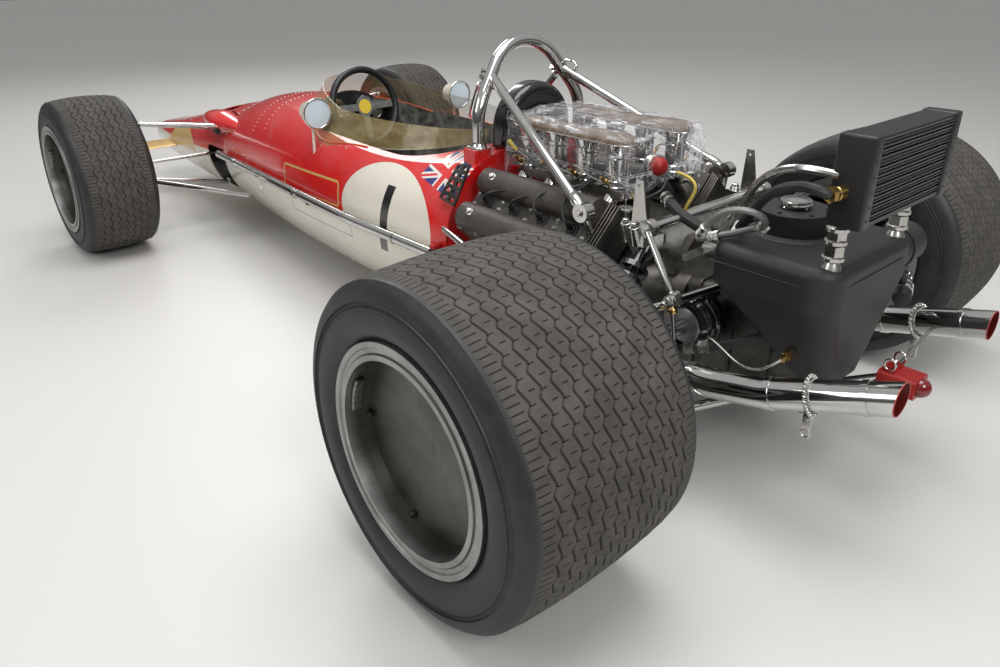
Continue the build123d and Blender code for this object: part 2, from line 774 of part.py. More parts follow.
# Finned oil cooler above the tank, on two unions
with BuildPart() as oil_cooler:
    with BuildSketch(Plane.XY.offset(cooler_bottom)):
        with Locations(at(cooler_station)[:2]):
            RectangleRounded(cooler_thickness, 2 * cooler_half_width, 4)
    extrude(amount=cooler_top - cooler_bottom)
    for face in (1, -1):
        with BuildSketch(Plane.YZ.offset(rear_axle + cooler_station + face * cooler_thickness / 2)):
            with Locations((0, (cooler_bottom + cooler_top) / 2)):
                with GridLocations(0, 11, 1, 14):
                    Rectangle(2 * cooler_half_width - 64, 5)
        extrude(amount=-face * 10, mode=Mode.SUBTRACT)
finish(oil_cooler, "oil_cooler")
with BuildPart() as cooler_unions:
    for side in (1, -1):
        with BuildSketch(Plane(origin=at(cooler_station + 28, side * 146, tank_top))):
            Circle(11)
        extrude(amount=cooler_bottom - tank_top)
        for height in (tank_top + 22, tank_top + 58):
            with BuildSketch(Plane(origin=at(cooler_station + 28, side * 146, height))):
                RegularPolygon(20, 6)
            extrude(amount=24)
finish(cooler_unions, "cooler_unions")

# Tail socket on its wire bracket
with BuildPart() as tail_block:
    with BuildSketch(Plane.YZ.offset(rear_axle - 462)):
        with Locations((0, 292)):
            RectangleRounded(64, 44, 8)
    extrude(amount=78)
    for fin in range(5):
        with BuildSketch(Plane.YZ.offset(rear_axle - 400 + fin * 5 - 14)):
            with Locations((0, 316)):
                Rectangle(56, 8)
        extrude(amount=2.5)
finish(tail_block, "tail_block")
with BuildPart() as tail_bracket:
    for side in (1, -1):
        bar([at(-262, side * 60, 200), at(-388, side * 24, 285)], 10)
        bar([at(-392, side * 24, 285), at(-392, side * 224, 331)], 8)
    for blocker in (gearbox, oil_tank, tail_block, exhausts):
        add(blocker.part, mode=Mode.SUBTRACT)
finish(tail_bracket, "tail_bracket")

# Wheel stations: name, station, side, track, tyre diameter, tyre width, half width of the rim
corners = (
    ("front_left", wheelbase, 1, front_track, front_tyre_diameter, front_tyre_width, 147),
    ("front_right", wheelbase, -1, front_track, front_tyre_diameter, front_tyre_width, 147),
    ("rear_left", 0, 1, rear_track, rear_tyre_diameter, rear_tyre_width, 204),
    ("rear_right", 0, -1, rear_track, rear_tyre_diameter, rear_tyre_width, 204),
)
spindle_radius = 20
for name, station, side, track, diameter, width, rim_half in corners:
    front = station > 0
    centre = at(station, side * track / 2, diameter / 2)
    wheel_plane = Plane(origin=centre, x_dir=(0, side, 0), z_dir=(side, 0, 0))
    axle = Axis(centre, (0, 1, 0))
    radius = diameter / 2
    bead = rim_half - rim_flange_thickness - gap
    tread = width / 2 - shoulder_inset
    with BuildPart() as tyre:
        with BuildSketch(wheel_plane):
            with BuildLine():
                Polyline((-bead, rim_flange_radius + 1), (-bead, rim_barrel_radius + gap),
                         (bead, rim_barrel_radius + gap), (bead, rim_flange_radius + 1))
                shoulder_point = (width / 2 - 5, radius - shoulder_drop - 32)
                ThreePointArc((bead, rim_flange_radius + 1), (width / 2, 250), shoulder_point)
                ThreePointArc(shoulder_point, (width / 2 - 14, radius - shoulder_drop - 9),
                              (tread, radius - shoulder_drop + 2))
                ThreePointArc((tread, radius - shoulder_drop + 2), (0, radius),
                              (-tread, radius - shoulder_drop + 2))
                ThreePointArc((-shoulder_point[0], shoulder_point[1]),
                              (-width / 2 + 14, radius - shoulder_drop - 9),
                              (-tread, radius - shoulder_drop + 2))
                ThreePointArc((-bead, rim_flange_radius + 1), (-width / 2, 250),
                              (-shoulder_point[0], shoulder_point[1]))
            make_face()
        revolve(axis=axle)
    finish(tyre, f"tyre_{name}")
    disc_front = rim_half - dish_depth
    brake = -brake_disc_inset + brake_disc_thickness / 2
    with BuildPart() as rim:
        with BuildSketch(wheel_plane):
            with BuildLine():
                outline = [
                    (disc_front, 0), (rim_half - dish_wall_depth, rim_lip_radius - 5),
                    (rim_half, rim_lip_radius), (rim_half, 191), (rim_half - 3, 193),
                    (rim_half - 3, 202), (rim_half, 204), (rim_half, rim_flange_radius),
                    (rim_half - rim_flange_thickness, rim_flange_radius),
                    (rim_half - rim_flange_thickness, rim_barrel_radius),
                    (rim_flange_thickness - rim_half, rim_barrel_radius),
                    (rim_flange_thickness - rim_half, rim_flange_radius),
                    (-rim_half, rim_flange_radius), (-rim_half, rim_barrel_radius - rim_wall),
                    (rim_half - dish_wall_depth - disc_thickness, rim_barrel_radius - rim_wall),
                    (disc_front - disc_thickness, hub_radius), (brake, hub_radius),
                    (brake, brake_disc_radius), (brake - brake_disc_thickness, brake_disc_radius),
                    (brake - brake_disc_thickness, hub_radius),
                    (brake - brake_disc_thickness - 6, hub_radius),
                ]
                if front:
                    outline += [(brake - brake_disc_thickness - 6, spindle_radius + gap),
                                (40, spindle_radius + gap), (40, 0)]
                else:
                    outline += [(brake - brake_disc_thickness - 6, spindle_radius),
                                (-176, spindle_radius), (-176, 0)]
                Polyline(*outline, close=True)
            make_face()
        revolve(axis=axle)
    finish(rim, f"rim_{name}")

# Half shafts, in line with the rear wheels and turning with them
for label, side in sides:
    inner = rear_track / 2 - 176
    with BuildPart() as half_shaft:
        with BuildSketch(Plane(origin=at(0, 0, rear_tyre_diameter / 2), x_dir=(0, side, 0),
                               z_dir=(side, 0, 0))):
            with BuildLine():
                Polyline((118, 0), (118, 40), (130, 62), (178, 62), (190, 40), (190, 17),
                         (inner - 56, 17), (inner - 50, 36), (inner - 20, 36), (inner - 12, 22),
                         (inner, 22), (inner, 0), close=True)
            make_face()
        revolve(axis=Axis(at(0, 0, rear_tyre_diameter / 2), (0, 1, 0)))
    finish(half_shaft, f"half_shaft_{label}")

# Rear uprights with their calipers
rear_disc = rear_track / 2 - brake_disc_inset
upright_face = rear_track / 2 - 160
with BuildPart() as rear_uprights:
    for side in (1, -1):
        with BuildSketch(Plane.XZ.offset(-side * upright_face)):
            with BuildLine():
                Polyline(at(-60, 0, 200)[::2], at(60, 0, 200)[::2], at(74, 0, 329)[::2],
                         at(34, 0, 470)[::2], at(-34, 0, 470)[::2], at(-74, 0, 329)[::2], close=True)
            make_face()
        extrude(amount=-side * 34)
        with BuildSketch(Plane.XZ.offset(-side * upright_face)):
            with Locations(at(0, 0, rear_tyre_diameter / 2)[::2]):
                Circle(56)
        extrude(amount=-side * 66)
        with BuildSketch(Plane.XZ.offset(-side * upright_face)):
            with Locations(at(-106, 0, rear_tyre_diameter / 2)[::2]):
                Rectangle(100, 90)
        extrude(amount=-side * 112)
        with BuildSketch(Plane.XZ.offset(-side * (rear_disc - 14))):
            with Locations(at(0, 0, rear_tyre_diameter / 2)[::2]):
                Circle(brake_disc_radius + 6)
        extrude(amount=-side * 28, mode=Mode.SUBTRACT)
        with BuildSketch(Plane.XZ):
            with Locations(at(0, 0, rear_tyre_diameter / 2)[::2]):
                Circle(spindle_radius + gap)
        extrude(amount=-side * 900, mode=Mode.SUBTRACT)
finish(rear_uprights, "rear_uprights")

# Rear links: start and end of each, from the hull, gearbox or crossbeam to the upright
link_standoff = 40
link_end = upright_face - link_standoff
link_diameter = 22
link_eye = 15
lug_station = 44
lug_height = 224
link_rows = (
    # inner station, across, height, outer station and height
    (tub_rear_station + 10, 346, 425, 26, 440),
    (tub_rear_station + 15, 300, 196, lug_station, lug_height),
    (95, 88, 190, 22, 216),
    (-190, 80, 200, -22, 216),
    (-20, 80, 404, -10, 440),
)
with BuildPart() as rear_links:
    for side in (1, -1):
        for station, across, height, outer_station, outer_height in link_rows:
            end = at(outer_station, side * link_end, outer_height)
            bar([at(station, side * across, height), end], link_diameter)
            with BuildSketch(Plane.XZ.offset(-side * (link_end - 12))):
                with Locations(at(outer_station, 0, outer_height)[::2]):
                    Circle(link_eye)
            extrude(amount=-side * (link_standoff + 12))
    for blocker in (gearbox, monocoque, engine_block):
        add(blocker.part, mode=Mode.SUBTRACT)
finish(rear_links, "rear_links")

# Coil springs over dampers at the rear
with BuildPart() as spring_dampers:
    for side in (1, -1):
        top = at(beam_station - 8, side * 200, 505)
        foot = at(lug_station + 4, side * (link_end + 8), lug_height)
        bar([top, bridge(top, foot, 0.85)], 30)
        bar([bridge(top, foot, 0.8), foot], 18)
        for turn in range(9):
            middle = bridge(top, foot, 0.15 + turn * 0.067)
            after = bridge(top, foot, 0.15 + turn * 0.067 + 0.027)
            bar([middle, after], 72)
    for blocker in (gearbox, rear_crossbeam, rear_uprights, rear_links):
        add(blocker.part, mode=Mode.SUBTRACT)
finish(spring_dampers, "spring_dampers")

# Anti-roll bar on the crossbeam, with its lever arms and drop links
lower_link = link_rows[3]
with BuildPart() as roll_bar:
    bar([at(beam_station - 34, -250, 556.3), at(beam_station - 34, 250, 556.3)], 22)
    for side in (1, -1):
        bar([at(beam_station - 34, side * 244, 556), at(-30, side * 282, 436)], 16)
        seat_place = bridge(lower_link[:3], (lower_link[3], link_end, lower_link[4]), 0.52)
        bar([at(-28, side * 284, 440), at(seat_place[0], side * seat_place[1], seat_place[2] + 8)], 10)
    add(rear_links.part, mode=Mode.SUBTRACT)
finish(roll_bar, "roll_bar")

# Inner frame that carries the rocker arms and the rack, ahead of the front bulkhead
with BuildPart() as front_frame:
    for side in (1, -1):
        with BuildSketch(Plane.XZ.offset(-side * 150)):
            with Locations(at(wheelbase, 0, 316)[::2]):
                RectangleRounded(2 * bulkhead_setback, 270, 12)
        extrude(amount=-side * 24)
    for height, half in ((430, 160), (182, 228)):
        with BuildSketch(Plane.YZ.offset(rear_axle + tub_front_station + 62)):
            with Locations((0, height)):
                Rectangle(2 * half, 22)
        extrude(amount=34)
    for side in (1, -1):
        with BuildSketch(Plane.XZ.offset(-side * 120)):
            with Locations(at(rack_station, 0, rack_height)[::2]):
                Circle(22)
        extrude(amount=-side * 60)
        with BuildSketch(Plane.XZ.offset(-side * 130)):
            with Locations(at(rack_station - 44, 0, rack_height)[::2]):
                Rectangle(60, 20)
        extrude(amount=-side * 40)
    with BuildSketch(Plane.XZ):
        with Locations(at(rack_station, 0, rack_height)[::2]):
            Circle(10 + gap)
    extrude(amount=400, both=True, mode=Mode.SUBTRACT)
finish(front_frame, "front_frame")

# Upper rocker arms and lower wishbones of the front suspension
joint_ball = 24
with BuildPart() as rocker_arms:
    for side in (1, -1):
        with BuildSketch(Plane.XZ.offset(-side * (174 + gap))):
            with Locations(at(wheelbase, 0, 428)[::2]):
                Ellipse(34, 15)
        with BuildSketch(Plane.XZ.offset(-side * (kingpin_offset - 22))):
            with Locations(at(wheelbase, 0, upper_joint_height)[::2]):
                Ellipse(20, 11)
        loft()
        ball(at(wheelbase, side * kingpin_offset, upper_joint_height), joint_ball)
        bar([at(wheelbase, side * (kingpin_offset - 30), upper_joint_height),
             at(wheelbase, side * kingpin_offset, upper_joint_height)], 16)
finish(rocker_arms, "rocker_arms")
with BuildPart() as lower_wishbones:
    for side in (1, -1):
        outer = at(wheelbase, side * kingpin_offset, lower_joint_height)
        ball(outer, joint_ball)
        bar([outer, at(wheelbase + 20, side * 236, 178)], 20)
        bar([outer, at(wheelbase - 330, side * 286, 196)], 20)
    add(tub_outline.part, mode=Mode.SUBTRACT)
    add(front_frame.part, mode=Mode.SUBTRACT)
finish(lower_wishbones, "lower_wishbones")

# Front knuckles turn on the two ball joints and carry the stub axle and the caliper
front_half = front_track / 2
front_disc = front_half - brake_disc_inset
front_axle_height = front_tyre_diameter / 2
for label, side in sides:
    with BuildPart() as knuckle:
        with BuildSketch(Plane.XZ.offset(-side * (kingpin_offset + 17))):
            with BuildLine():
                Polyline(at(wheelbase - 26, 0, lower_joint_height - 40)[::2],
                         at(wheelbase + 26, 0, lower_joint_height - 40)[::2],
                         at(wheelbase + 44, 0, front_axle_height)[::2],
                         at(wheelbase + 18, 0, upper_joint_height - 30)[::2],
                         at(wheelbase - 18, 0, upper_joint_height - 30)[::2],
                         at(wheelbase - 44, 0, front_axle_height)[::2], close=True)
            make_face()
        extrude(amount=-side * 24)
        # Forks round the ball joints
        for height in (upper_joint_height, lower_joint_height):
            with BuildSketch(Plane.XY.offset(height - 40)):
                with Locations(at(wheelbase, side * (kingpin_offset + 12))[:2]):
                    Rectangle(30, 52)
            extrude(amount=16)
            bar([at(wheelbase, side * kingpin_offset, height - 26),
                 at(wheelbase, side * kingpin_offset, height - joint_ball / 2 - gap)], 14)
        bar([at(wheelbase, side * (kingpin_offset + 20), front_axle_height),
             at(wheelbase, side * (front_half + 30), front_axle_height)], 2 * spindle_radius)
        with BuildSketch(Plane.XZ.offset(-side * (kingpin_offset + 17))):
            with Locations(at(wheelbase - 112, 0, front_axle_height)[::2]):
                Rectangle(84, 90)
            with Locations(at(wheelbase - 60, 0, front_axle_height)[::2]):
                Rectangle(60, 40)
        extrude(amount=-side * 24)
        with BuildSketch(Plane.XZ.offset(-side * (kingpin_offset + 41))):
            with Locations(at(wheelbase - 118, 0, front_axle_height)[::2]):
                Rectangle(70, 90)
        extrude(amount=-side * 92)
        with BuildSketch(Plane.XZ.offset(-side * (front_disc - 13))):
            with Locations(at(wheelbase, 0, front_axle_height)[::2]):
                Circle(brake_disc_radius + 6)
                Circle(spindle_radius, mode=Mode.SUBTRACT)
        extrude(amount=-side * 26, mode=Mode.SUBTRACT)
        # Steering arm with an upright pin for the tie rod
        bar([at(wheelbase + 20, side * (kingpin_offset + 26), steering_arm_height),
             at(wheelbase + steering_arm_length, side * kingpin_offset, steering_arm_height - 20)], 16)
        ball(at(wheelbase + steering_arm_length, side * kingpin_offset, steering_arm_height - 20), 18)
        bar([at(wheelbase + steering_arm_length, side * kingpin_offset, steering_arm_height - 20),
             at(wheelbase + steering_arm_length, side * kingpin_offset, steering_arm_height + 12)], 11)
    finish(knuckle, f"knuckle_{label}")

# Rack bar and tie rods slide together
with BuildPart() as steering_rack:
    bar([at(rack_station, -rack_half_width, rack_height), at(rack_station, rack_half_width, rack_height)], 20)
    for side in (1, -1):
        bar([at(rack_station, side * (rack_half_width - 10), rack_height),
             at(rack_station, side * (kingpin_offset - tie_rod_eye_radius + 3), rack_height)],
            tie_rod_diameter)
        with BuildSketch(Plane(origin=at(rack_station, side * kingpin_offset, steering_arm_height - 3))):
            Circle(tie_rod_eye_radius)
        extrude(amount=10)
        with BuildSketch(Plane(origin=at(rack_station, side * kingpin_offset, steering_arm_height - 4))):
            Circle(tie_rod_eye_bore)
        extrude(amount=12, mode=Mode.SUBTRACT)
finish(steering_rack, "steering_rack")

# Steering wheel with three spokes, turning with its column
rim_radius = steering_wheel_diameter / 2 - 13
with BuildPart() as steering_wheel:
    with BuildSketch(Plane(origin=steering_plane.origin, x_dir=(0, 1, 0), z_dir=(sin(rake), 0, cos(rake)))):
        with Locations((rim_radius, 0)):
            Circle(13)
    revolve(axis=Axis(wheel_centre, wheel_axis))
    with BuildSketch(steering_plane):
        Circle(36)
        for turn in (0, 180, 270):
            with Locations(Rotation(0, 0, turn) * Location((rim_radius / 2 + 10, 0))):
                Rectangle(rim_radius - 10, 26)
    extrude(amount=4)
    with BuildSketch(steering_plane):
        Circle(26)
    extrude(amount=22)
    with BuildSketch(steering_plane):
        Circle(column_diameter / 2)
    extrude(amount=column_length)
finish(steering_wheel, "steering_wheel")
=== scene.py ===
from math import cos, pi, radians, sin, sqrt

import bpy
from mathutils import Matrix, Vector, noise as fold


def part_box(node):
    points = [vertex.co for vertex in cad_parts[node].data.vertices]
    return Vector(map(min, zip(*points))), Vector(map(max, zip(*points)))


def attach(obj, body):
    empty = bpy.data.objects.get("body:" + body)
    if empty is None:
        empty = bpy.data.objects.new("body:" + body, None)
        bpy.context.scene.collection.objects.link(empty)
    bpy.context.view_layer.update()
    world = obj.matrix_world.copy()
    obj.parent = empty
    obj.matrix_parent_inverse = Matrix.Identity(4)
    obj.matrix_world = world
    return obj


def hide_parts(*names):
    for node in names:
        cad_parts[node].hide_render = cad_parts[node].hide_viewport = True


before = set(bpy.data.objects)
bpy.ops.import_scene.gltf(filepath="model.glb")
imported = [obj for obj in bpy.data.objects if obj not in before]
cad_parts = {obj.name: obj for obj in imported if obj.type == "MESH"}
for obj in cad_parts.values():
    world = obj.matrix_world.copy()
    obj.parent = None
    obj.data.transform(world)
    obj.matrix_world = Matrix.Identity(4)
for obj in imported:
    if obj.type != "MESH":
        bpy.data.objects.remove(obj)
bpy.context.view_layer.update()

# Open wheel grand prix car. Metres, X forward, Y to the car's left, Z up.
# A station is a distance ahead of the rear axle.
X, Y, Z = Vector((1, 0, 0)), Vector((0, 1, 0)), Vector((0, 0, 1))
origin = (0, 0, 0)
rear_axle = sum(corner[0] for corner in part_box("tyre_rear_left")) / 2
sides = (1, -1)
flanks = (("left", 1), ("right", -1))


def at(station, across=0.0, height=0.0):
    """The place of a station in the frame."""
    return Vector((rear_axle + station, across, height))


def route(*rows, side=1):
    """Places from rows of station, across and height, on one side of the car."""
    return [at(station, side * across, height) for station, across, height in rows]


def box(node):
    """Low corner, high corner and middle of a CAD node."""
    low, high = (Vector(corner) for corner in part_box(node))
    return low, high, (low + high) / 2


hull_middle = 0.33
pipe_bend, pipe_end = route((-0.262, 0.268, 0.296), (-0.565, 0.222, 0.396))

# Tread: grooves round it, cross cuts round one rib, plain strip at each edge, shift from rib to rib
tread_pattern = {"rear": (11, 50), "front": (7, 47)}
tread_margin = 0.034
row_stagger = 0.37

# Materials

class Wire:
    """An output socket. Sums, products and comparisons on it add the nodes they need."""

    def __init__(self, finish, socket):
        self.finish = finish
        self.socket = socket

    def math(self, operation, *others, clamp=False):
        """The result of an operation on this value and others."""
        settings = {"operation": operation, "use_clamp": clamp}
        return self.finish.node("ShaderNodeMath", settings, dict(enumerate((self,) + others)))

    def __add__(self, other):
        return self.math("ADD", other)

    def __sub__(self, other):
        return self.math("SUBTRACT", other)

    def __mul__(self, other):
        return self.math("MULTIPLY", other)

    def __truediv__(self, other):
        return self.math("DIVIDE", other)

    def __rsub__(self, other):
        return self.finish.node("ShaderNodeMath", {"operation": "SUBTRACT"}, {0: other, 1: self})

    __radd__ = __add__
    __rmul__ = __mul__

    def __abs__(self):
        return self.math("ABSOLUTE")

    def above(self, edge, blur=0.001):
        """1 where the value is above the edge, 0 below it, and a ramp between."""
        return ((self - edge) / blur).math("ADD", 0.5, clamp=True)

    def below(self, edge, blur=0.001):
        """1 where the value is below the edge."""
        return 1 - self.above(edge, blur)

    def within(self, low, high, blur=0.001):
        """1 where the value is between two edges."""
        return self.above(low, blur) * self.below(high, blur)


class Finish:
    """A material with one principled shader, and the nodes that feed it."""

    def __init__(self, name, color=(0.5, 0.5, 0.5), roughness=0.5, metallic=0.0, **fixed):
        self.material = bpy.data.materials.new(name)
        self.material.use_nodes = True
        self.tree = self.material.node_tree
        self.shader = self.tree.nodes["Principled BSDF"]
        self.set("Base Color", (*color, 1))
        self.set("Roughness", roughness)
        self.set("Metallic", metallic)
        for name, value in fixed.items():
            self.set(name.replace("_", " "), value)

    def node(self, kind, settings=None, inputs=None, output=0):
        """An output of a new node, with its settings made and its inputs fed."""
        made = self.tree.nodes.new(kind)
        for name, value in (settings or {}).items():
            setattr(made, name, value)
        for name, value in (inputs or {}).items():
            self.feed(made.inputs[name], value)
        return Wire(self, made.outputs[output])

    def feed(self, socket, value):
        """Links a wire to a socket, or gives it a fixed value."""
        if isinstance(value, Wire):
            self.tree.links.new(value.socket, socket)
        else:
            socket.default_value = value

    def set(self, name, value):
        self.feed(self.shader.inputs[name], value)

    def position(self):
        """The place on the piece."""
        return self.node("ShaderNodeTexCoord", output="Object")

    def split(self, vector):
        """The three parts of a vector."""
        parts = self.node("ShaderNodeSeparateXYZ", inputs={0: vector}).socket.node
        return [Wire(self, parts.outputs[axis]) for axis in range(3)]

    def moved(self, centre=(0, 0, 0), scale=(1, 1, 1)):
        """The place on the piece, counted from a centre and stretched."""
        shift = self.node("ShaderNodeVectorMath", {"operation": "SUBTRACT"}, {0: self.position(), 1: centre})
        return self.node("ShaderNodeVectorMath", {"operation": "MULTIPLY"}, {0: shift, 1: scale})

    def about(self, centre, axis):
        """How far along an axis a place lies, and how far out from it."""
        shift = self.moved(tuple(centre))
        axis = tuple(Vector(axis).normalized())
        along = self.node("ShaderNodeVectorMath", {"operation": "DOT_PRODUCT"}, {0: shift, 1: axis}, 1)
        square = self.node("ShaderNodeVectorMath", {"operation": "DOT_PRODUCT"}, {0: shift, 1: shift}, 1)
        return along, (square - along * along).math("MAXIMUM", 0.0).math("SQRT")

    def noise(self, scale, detail=3.0, rough=0.55, stretch=(1, 1, 1)):
        """An uneven value from 0 to 1."""
        return self.node("ShaderNodeTexNoise", inputs={
            "Vector": self.moved(scale=stretch), "Scale": scale, "Detail": detail, "Roughness": rough})

    def mix(self, first, second, share):
        """Colour between two colours."""
        tidy = [(*c, 1) if isinstance(c, tuple) and len(c) == 3 else c for c in (first, second)]
        return self.node("ShaderNodeMix", {"data_type": "RGBA"}, {0: share, 6: tidy[0], 7: tidy[1]}, 2)

    def bump(self, height, strength=0.4, distance=0.002):
        """Lets a height shade the surface, and closes the finish."""
        normal = self.node("ShaderNodeBump", inputs={
            "Height": height, "Strength": strength, "Distance": distance})
        self.set("Normal", normal)
        return self


def cast_metal(name, dark, light, roughness=0.45, metallic=1.0, grain=220, depth=0.25):
    """Cast or painted metal, blotched and lightly pitted."""
    finish = Finish(name, light, roughness, metallic)
    blotch = finish.noise(14, 5, 0.6)
    pits = finish.noise(grain, 2)
    finish.set("Base Color", finish.mix(dark, light, (blotch * 0.7 + pits * 0.3).above(0.5, 0.35)))
    finish.set("Roughness", blotch * 0.3 + (roughness - 0.15))
    return finish.bump(pits, depth, 0.001)


def polished(name, color=(0.66, 0.655, 0.64), roughness=0.07):
    """Plated or polished metal with faint smears."""
    finish = Finish(name, color, roughness, 1.0)
    smear = finish.noise(9, 4, 0.6)
    finish.set("Roughness", smear * 0.12 + (roughness - 0.04))
    finish.set("Base Color", finish.mix(tuple(c * 0.82 for c in color), color, smear.above(0.45, 0.3)))
    return finish


def plain(name, color, roughness=0.5, grain=90, depth=0.15, shade=0.75, **fixed):
    """Paint, plastic, rubber or cloth with a fine uneven surface."""
    finish = Finish(name, color, roughness, **fixed)
    fine = finish.noise(grain, 3)
    finish.set("Base Color", finish.mix(tuple(c * shade for c in color), color, fine.above(0.5, 0.4)))
    finish.set("Roughness", fine * 0.15 + (roughness - 0.07))
    return finish.bump(fine, depth, 0.001)



red = (0.62, 0.007, 0.007)
cream = (0.74, 0.70, 0.60)
gold = (0.62, 0.40, 0.13)
off_white = (0.72, 0.70, 0.66)
navy = (0.012, 0.018, 0.16)
near_black = (0.012, 0.012, 0.014)
line_grey = (0.30, 0.31, 0.32)


def rounded_line(u, v, centre, half, corner, width):
    """A line along a rectangle with round corners."""
    along = (abs(u - centre[0]) - (half[0] - corner)).math("MAXIMUM", 0.0)
    up = (abs(v - centre[1]) - (half[1] - corner)).math("MAXIMUM", 0.0)
    reach = (along * along + up * up).math("SQRT")
    return reach.within(corner - width, corner, 0.0012)


def in_ellipse(u, v, centre, half, blur):
    """1 inside an ellipse, given by its centre and its half axes."""
    along, up = (u - centre[0]) / half[0], (v - centre[1]) / half[1]
    return (along * along + up * up).below(1, blur)


def crossed_flag(finish, station, height):
    """Colour of the flag on the shoulder, and 1 where it lies."""
    centre, half, turn, steepness = (0.775, 0.557), (0.088, 0.050), radians(-15), 1.25
    ahead, rise = station - centre[0], (height - centre[1]) * steepness
    u = ahead * (cos(turn) / half[0]) - rise * (sin(turn) / half[0])
    v = ahead * (sin(turn) / half[1]) + rise * (cos(turn) / half[1])
    slant = abs(abs(u) - abs(v))
    cross = (abs(u) * (half[0] / half[1])).math("MINIMUM", abs(v))
    color = navy
    stripes = ((slant, off_white, 0.24), (slant, red, 0.09), (cross, off_white, 0.34), (cross, red, 0.20))
    for stripe, paint, width in stripes:
        color = finish.mix(color, paint, stripe.below(width, 0.03))
    return color, abs(u).below(1, 0.02) * abs(v).below(1, 0.02)


def hull_paint():
    """Red above the flank pipe and cream below it, with the roundel, frames and flag on the flanks."""
    finish = Finish("hull_paint", red, 0.16, Coat_Weight=0.6, Coat_Roughness=0.05)
    x, y, z = finish.split(finish.position())
    nx, ny, nz = finish.split(finish.node("ShaderNodeTexCoord", output="Normal"))
    station = x - rear_axle
    side_face = abs(y).above(0.17, 0.004)
    paint_line = 0.352 - (station - 1.4).math("MAXIMUM", 0.0) * 0.030
    color = finish.mix(cream, red, (z - paint_line).above(0, 0.0012))
    # Roundel with its plain bar
    roundel = in_ellipse(station, z, (1.000, 0.380), (0.243, 0.168), 0.008) * side_face
    color = finish.mix(color, cream, roundel)
    from_bar = abs(station - 0.990 + (z - 0.385) * 0.18)
    color = finish.mix(color, near_black, from_bar.below(0.020) * z.within(0.278, 0.492) * side_face)
    frames = (
        # centre, slope, half size, corner, line width, paint
        ((1.49, 0.395), 0.045, (0.225, 0.045), 0.018, 0.008, gold),
        ((1.44, 0.298), 0.030, (0.235, 0.036), 0.014, 0.005, line_grey),
    )
    for centre, slope, half, corner, width, paint in frames:
        tilted = z + (station - centre[0]) * slope
        line = rounded_line(station, tilted, centre, half, corner, width) * side_face
        color = finish.mix(color, paint, line)
    flag, field = crossed_flag(finish, station, z)
    color = finish.mix(color, flag, field * side_face * nx.above(-0.7, 0.05))
    # Gold half disc on the flank of the nose
    disc_foot = 0.270
    disc = in_ellipse(station, z, (2.98, disc_foot), (0.20, 0.105), 0.02) * side_face * z.above(disc_foot)
    color = finish.mix(color, gold, disc)
    # Bare inside
    inward = (y * ny + (z - hull_middle) * nz).below(-0.0005, 0.0005)
    bare = finish.mix((0.05, 0.05, 0.045), (0.20, 0.20, 0.18), finish.noise(30).above(0.5, 0.3))
    color = finish.mix(color, bare, inward)
    dust = finish.noise(5, 6, 0.65)
    dusty = finish.mix(color, (0.35, 0.33, 0.30), 0.12)
    finish.set("Base Color", finish.mix(color, dusty, dust.above(0.58, 0.2)))
    finish.set("Roughness", 0.12 + dust * 0.14 + inward * 0.35)
    finish.set("Coat Weight", 0.6 - inward * 0.6)
    return finish.bump(finish.noise(3.2, 2), 0.10, 0.02)


def tyre_rubber(name, node, grooves, teeth):
    """Dusty tread and darker, smoother walls, with cross cuts in the tread, sunk by the bump and painted
    near black as painted shade.
    """
    low, high, centre = box(node)
    radius, half = (high.z - low.z) / 2, (high.y - low.y) / 2
    finish = Finish(name, (0.03, 0.03, 0.03), 0.7)
    x, y, z = finish.split(finish.moved(tuple(centre)))
    reach = (x * x + z * z).math("SQRT")
    angle = x.math("ARCTAN2", z)
    tread = reach.above(radius - 0.024, 0.008) * abs(y).below(half - 0.030, 0.006)
    rib = 2 * (half - tread_margin) / (grooves + 1)
    row = (y / rib + 100).math("FLOOR")
    across = (y / rib + 100).math("FRACT")
    place = (angle * (teeth / (2 * pi)) + row * row_stagger + 300).math("FRACT")
    inner = abs(y).below(half - 0.060, 0.003)
    cut = abs(place - 0.87).below(0.030, 0.02) * across.within(0.22, 0.60, 0.03)
    second = abs(place - 0.37).below(0.026, 0.02) * across.within(0.52, 0.84, 0.03)
    sipe = abs((angle * (teeth * 1.5 / pi)).math("FRACT") - 0.5).below(0.09, 0.04)
    shoulder = abs(y).within(half - 0.054, half - 0.030, 0.003) * sipe
    cuts = (cut.math("MAXIMUM", second) * inner).math("MAXIMUM", shoulder) * tread
    dust = finish.noise(20, 6, 0.7)
    worn = finish.mix((0.046, 0.042, 0.037), (0.086, 0.079, 0.069), dust.above(0.5, 0.35))
    wall = finish.mix((0.009, 0.009, 0.010), (0.023, 0.023, 0.025), dust.above(0.52, 0.3))
    color = finish.mix(wall, worn, tread)
    # The cross cuts are painted near black: painted shade in the cuts.
    finish.set("Base Color", finish.mix(color, (0.006, 0.006, 0.006), cuts))
    finish.set("Roughness", 0.46 + tread * 0.34 + dust * 0.1)
    rings = sum(abs((reach - (radius - drop)) / 0.010).below(0.09, 0.05) for drop in (0.052, 0.062))
    return finish.bump(rings * 0.35 - cuts + finish.noise(260, 2) * 0.12, 0.7, 0.0022)


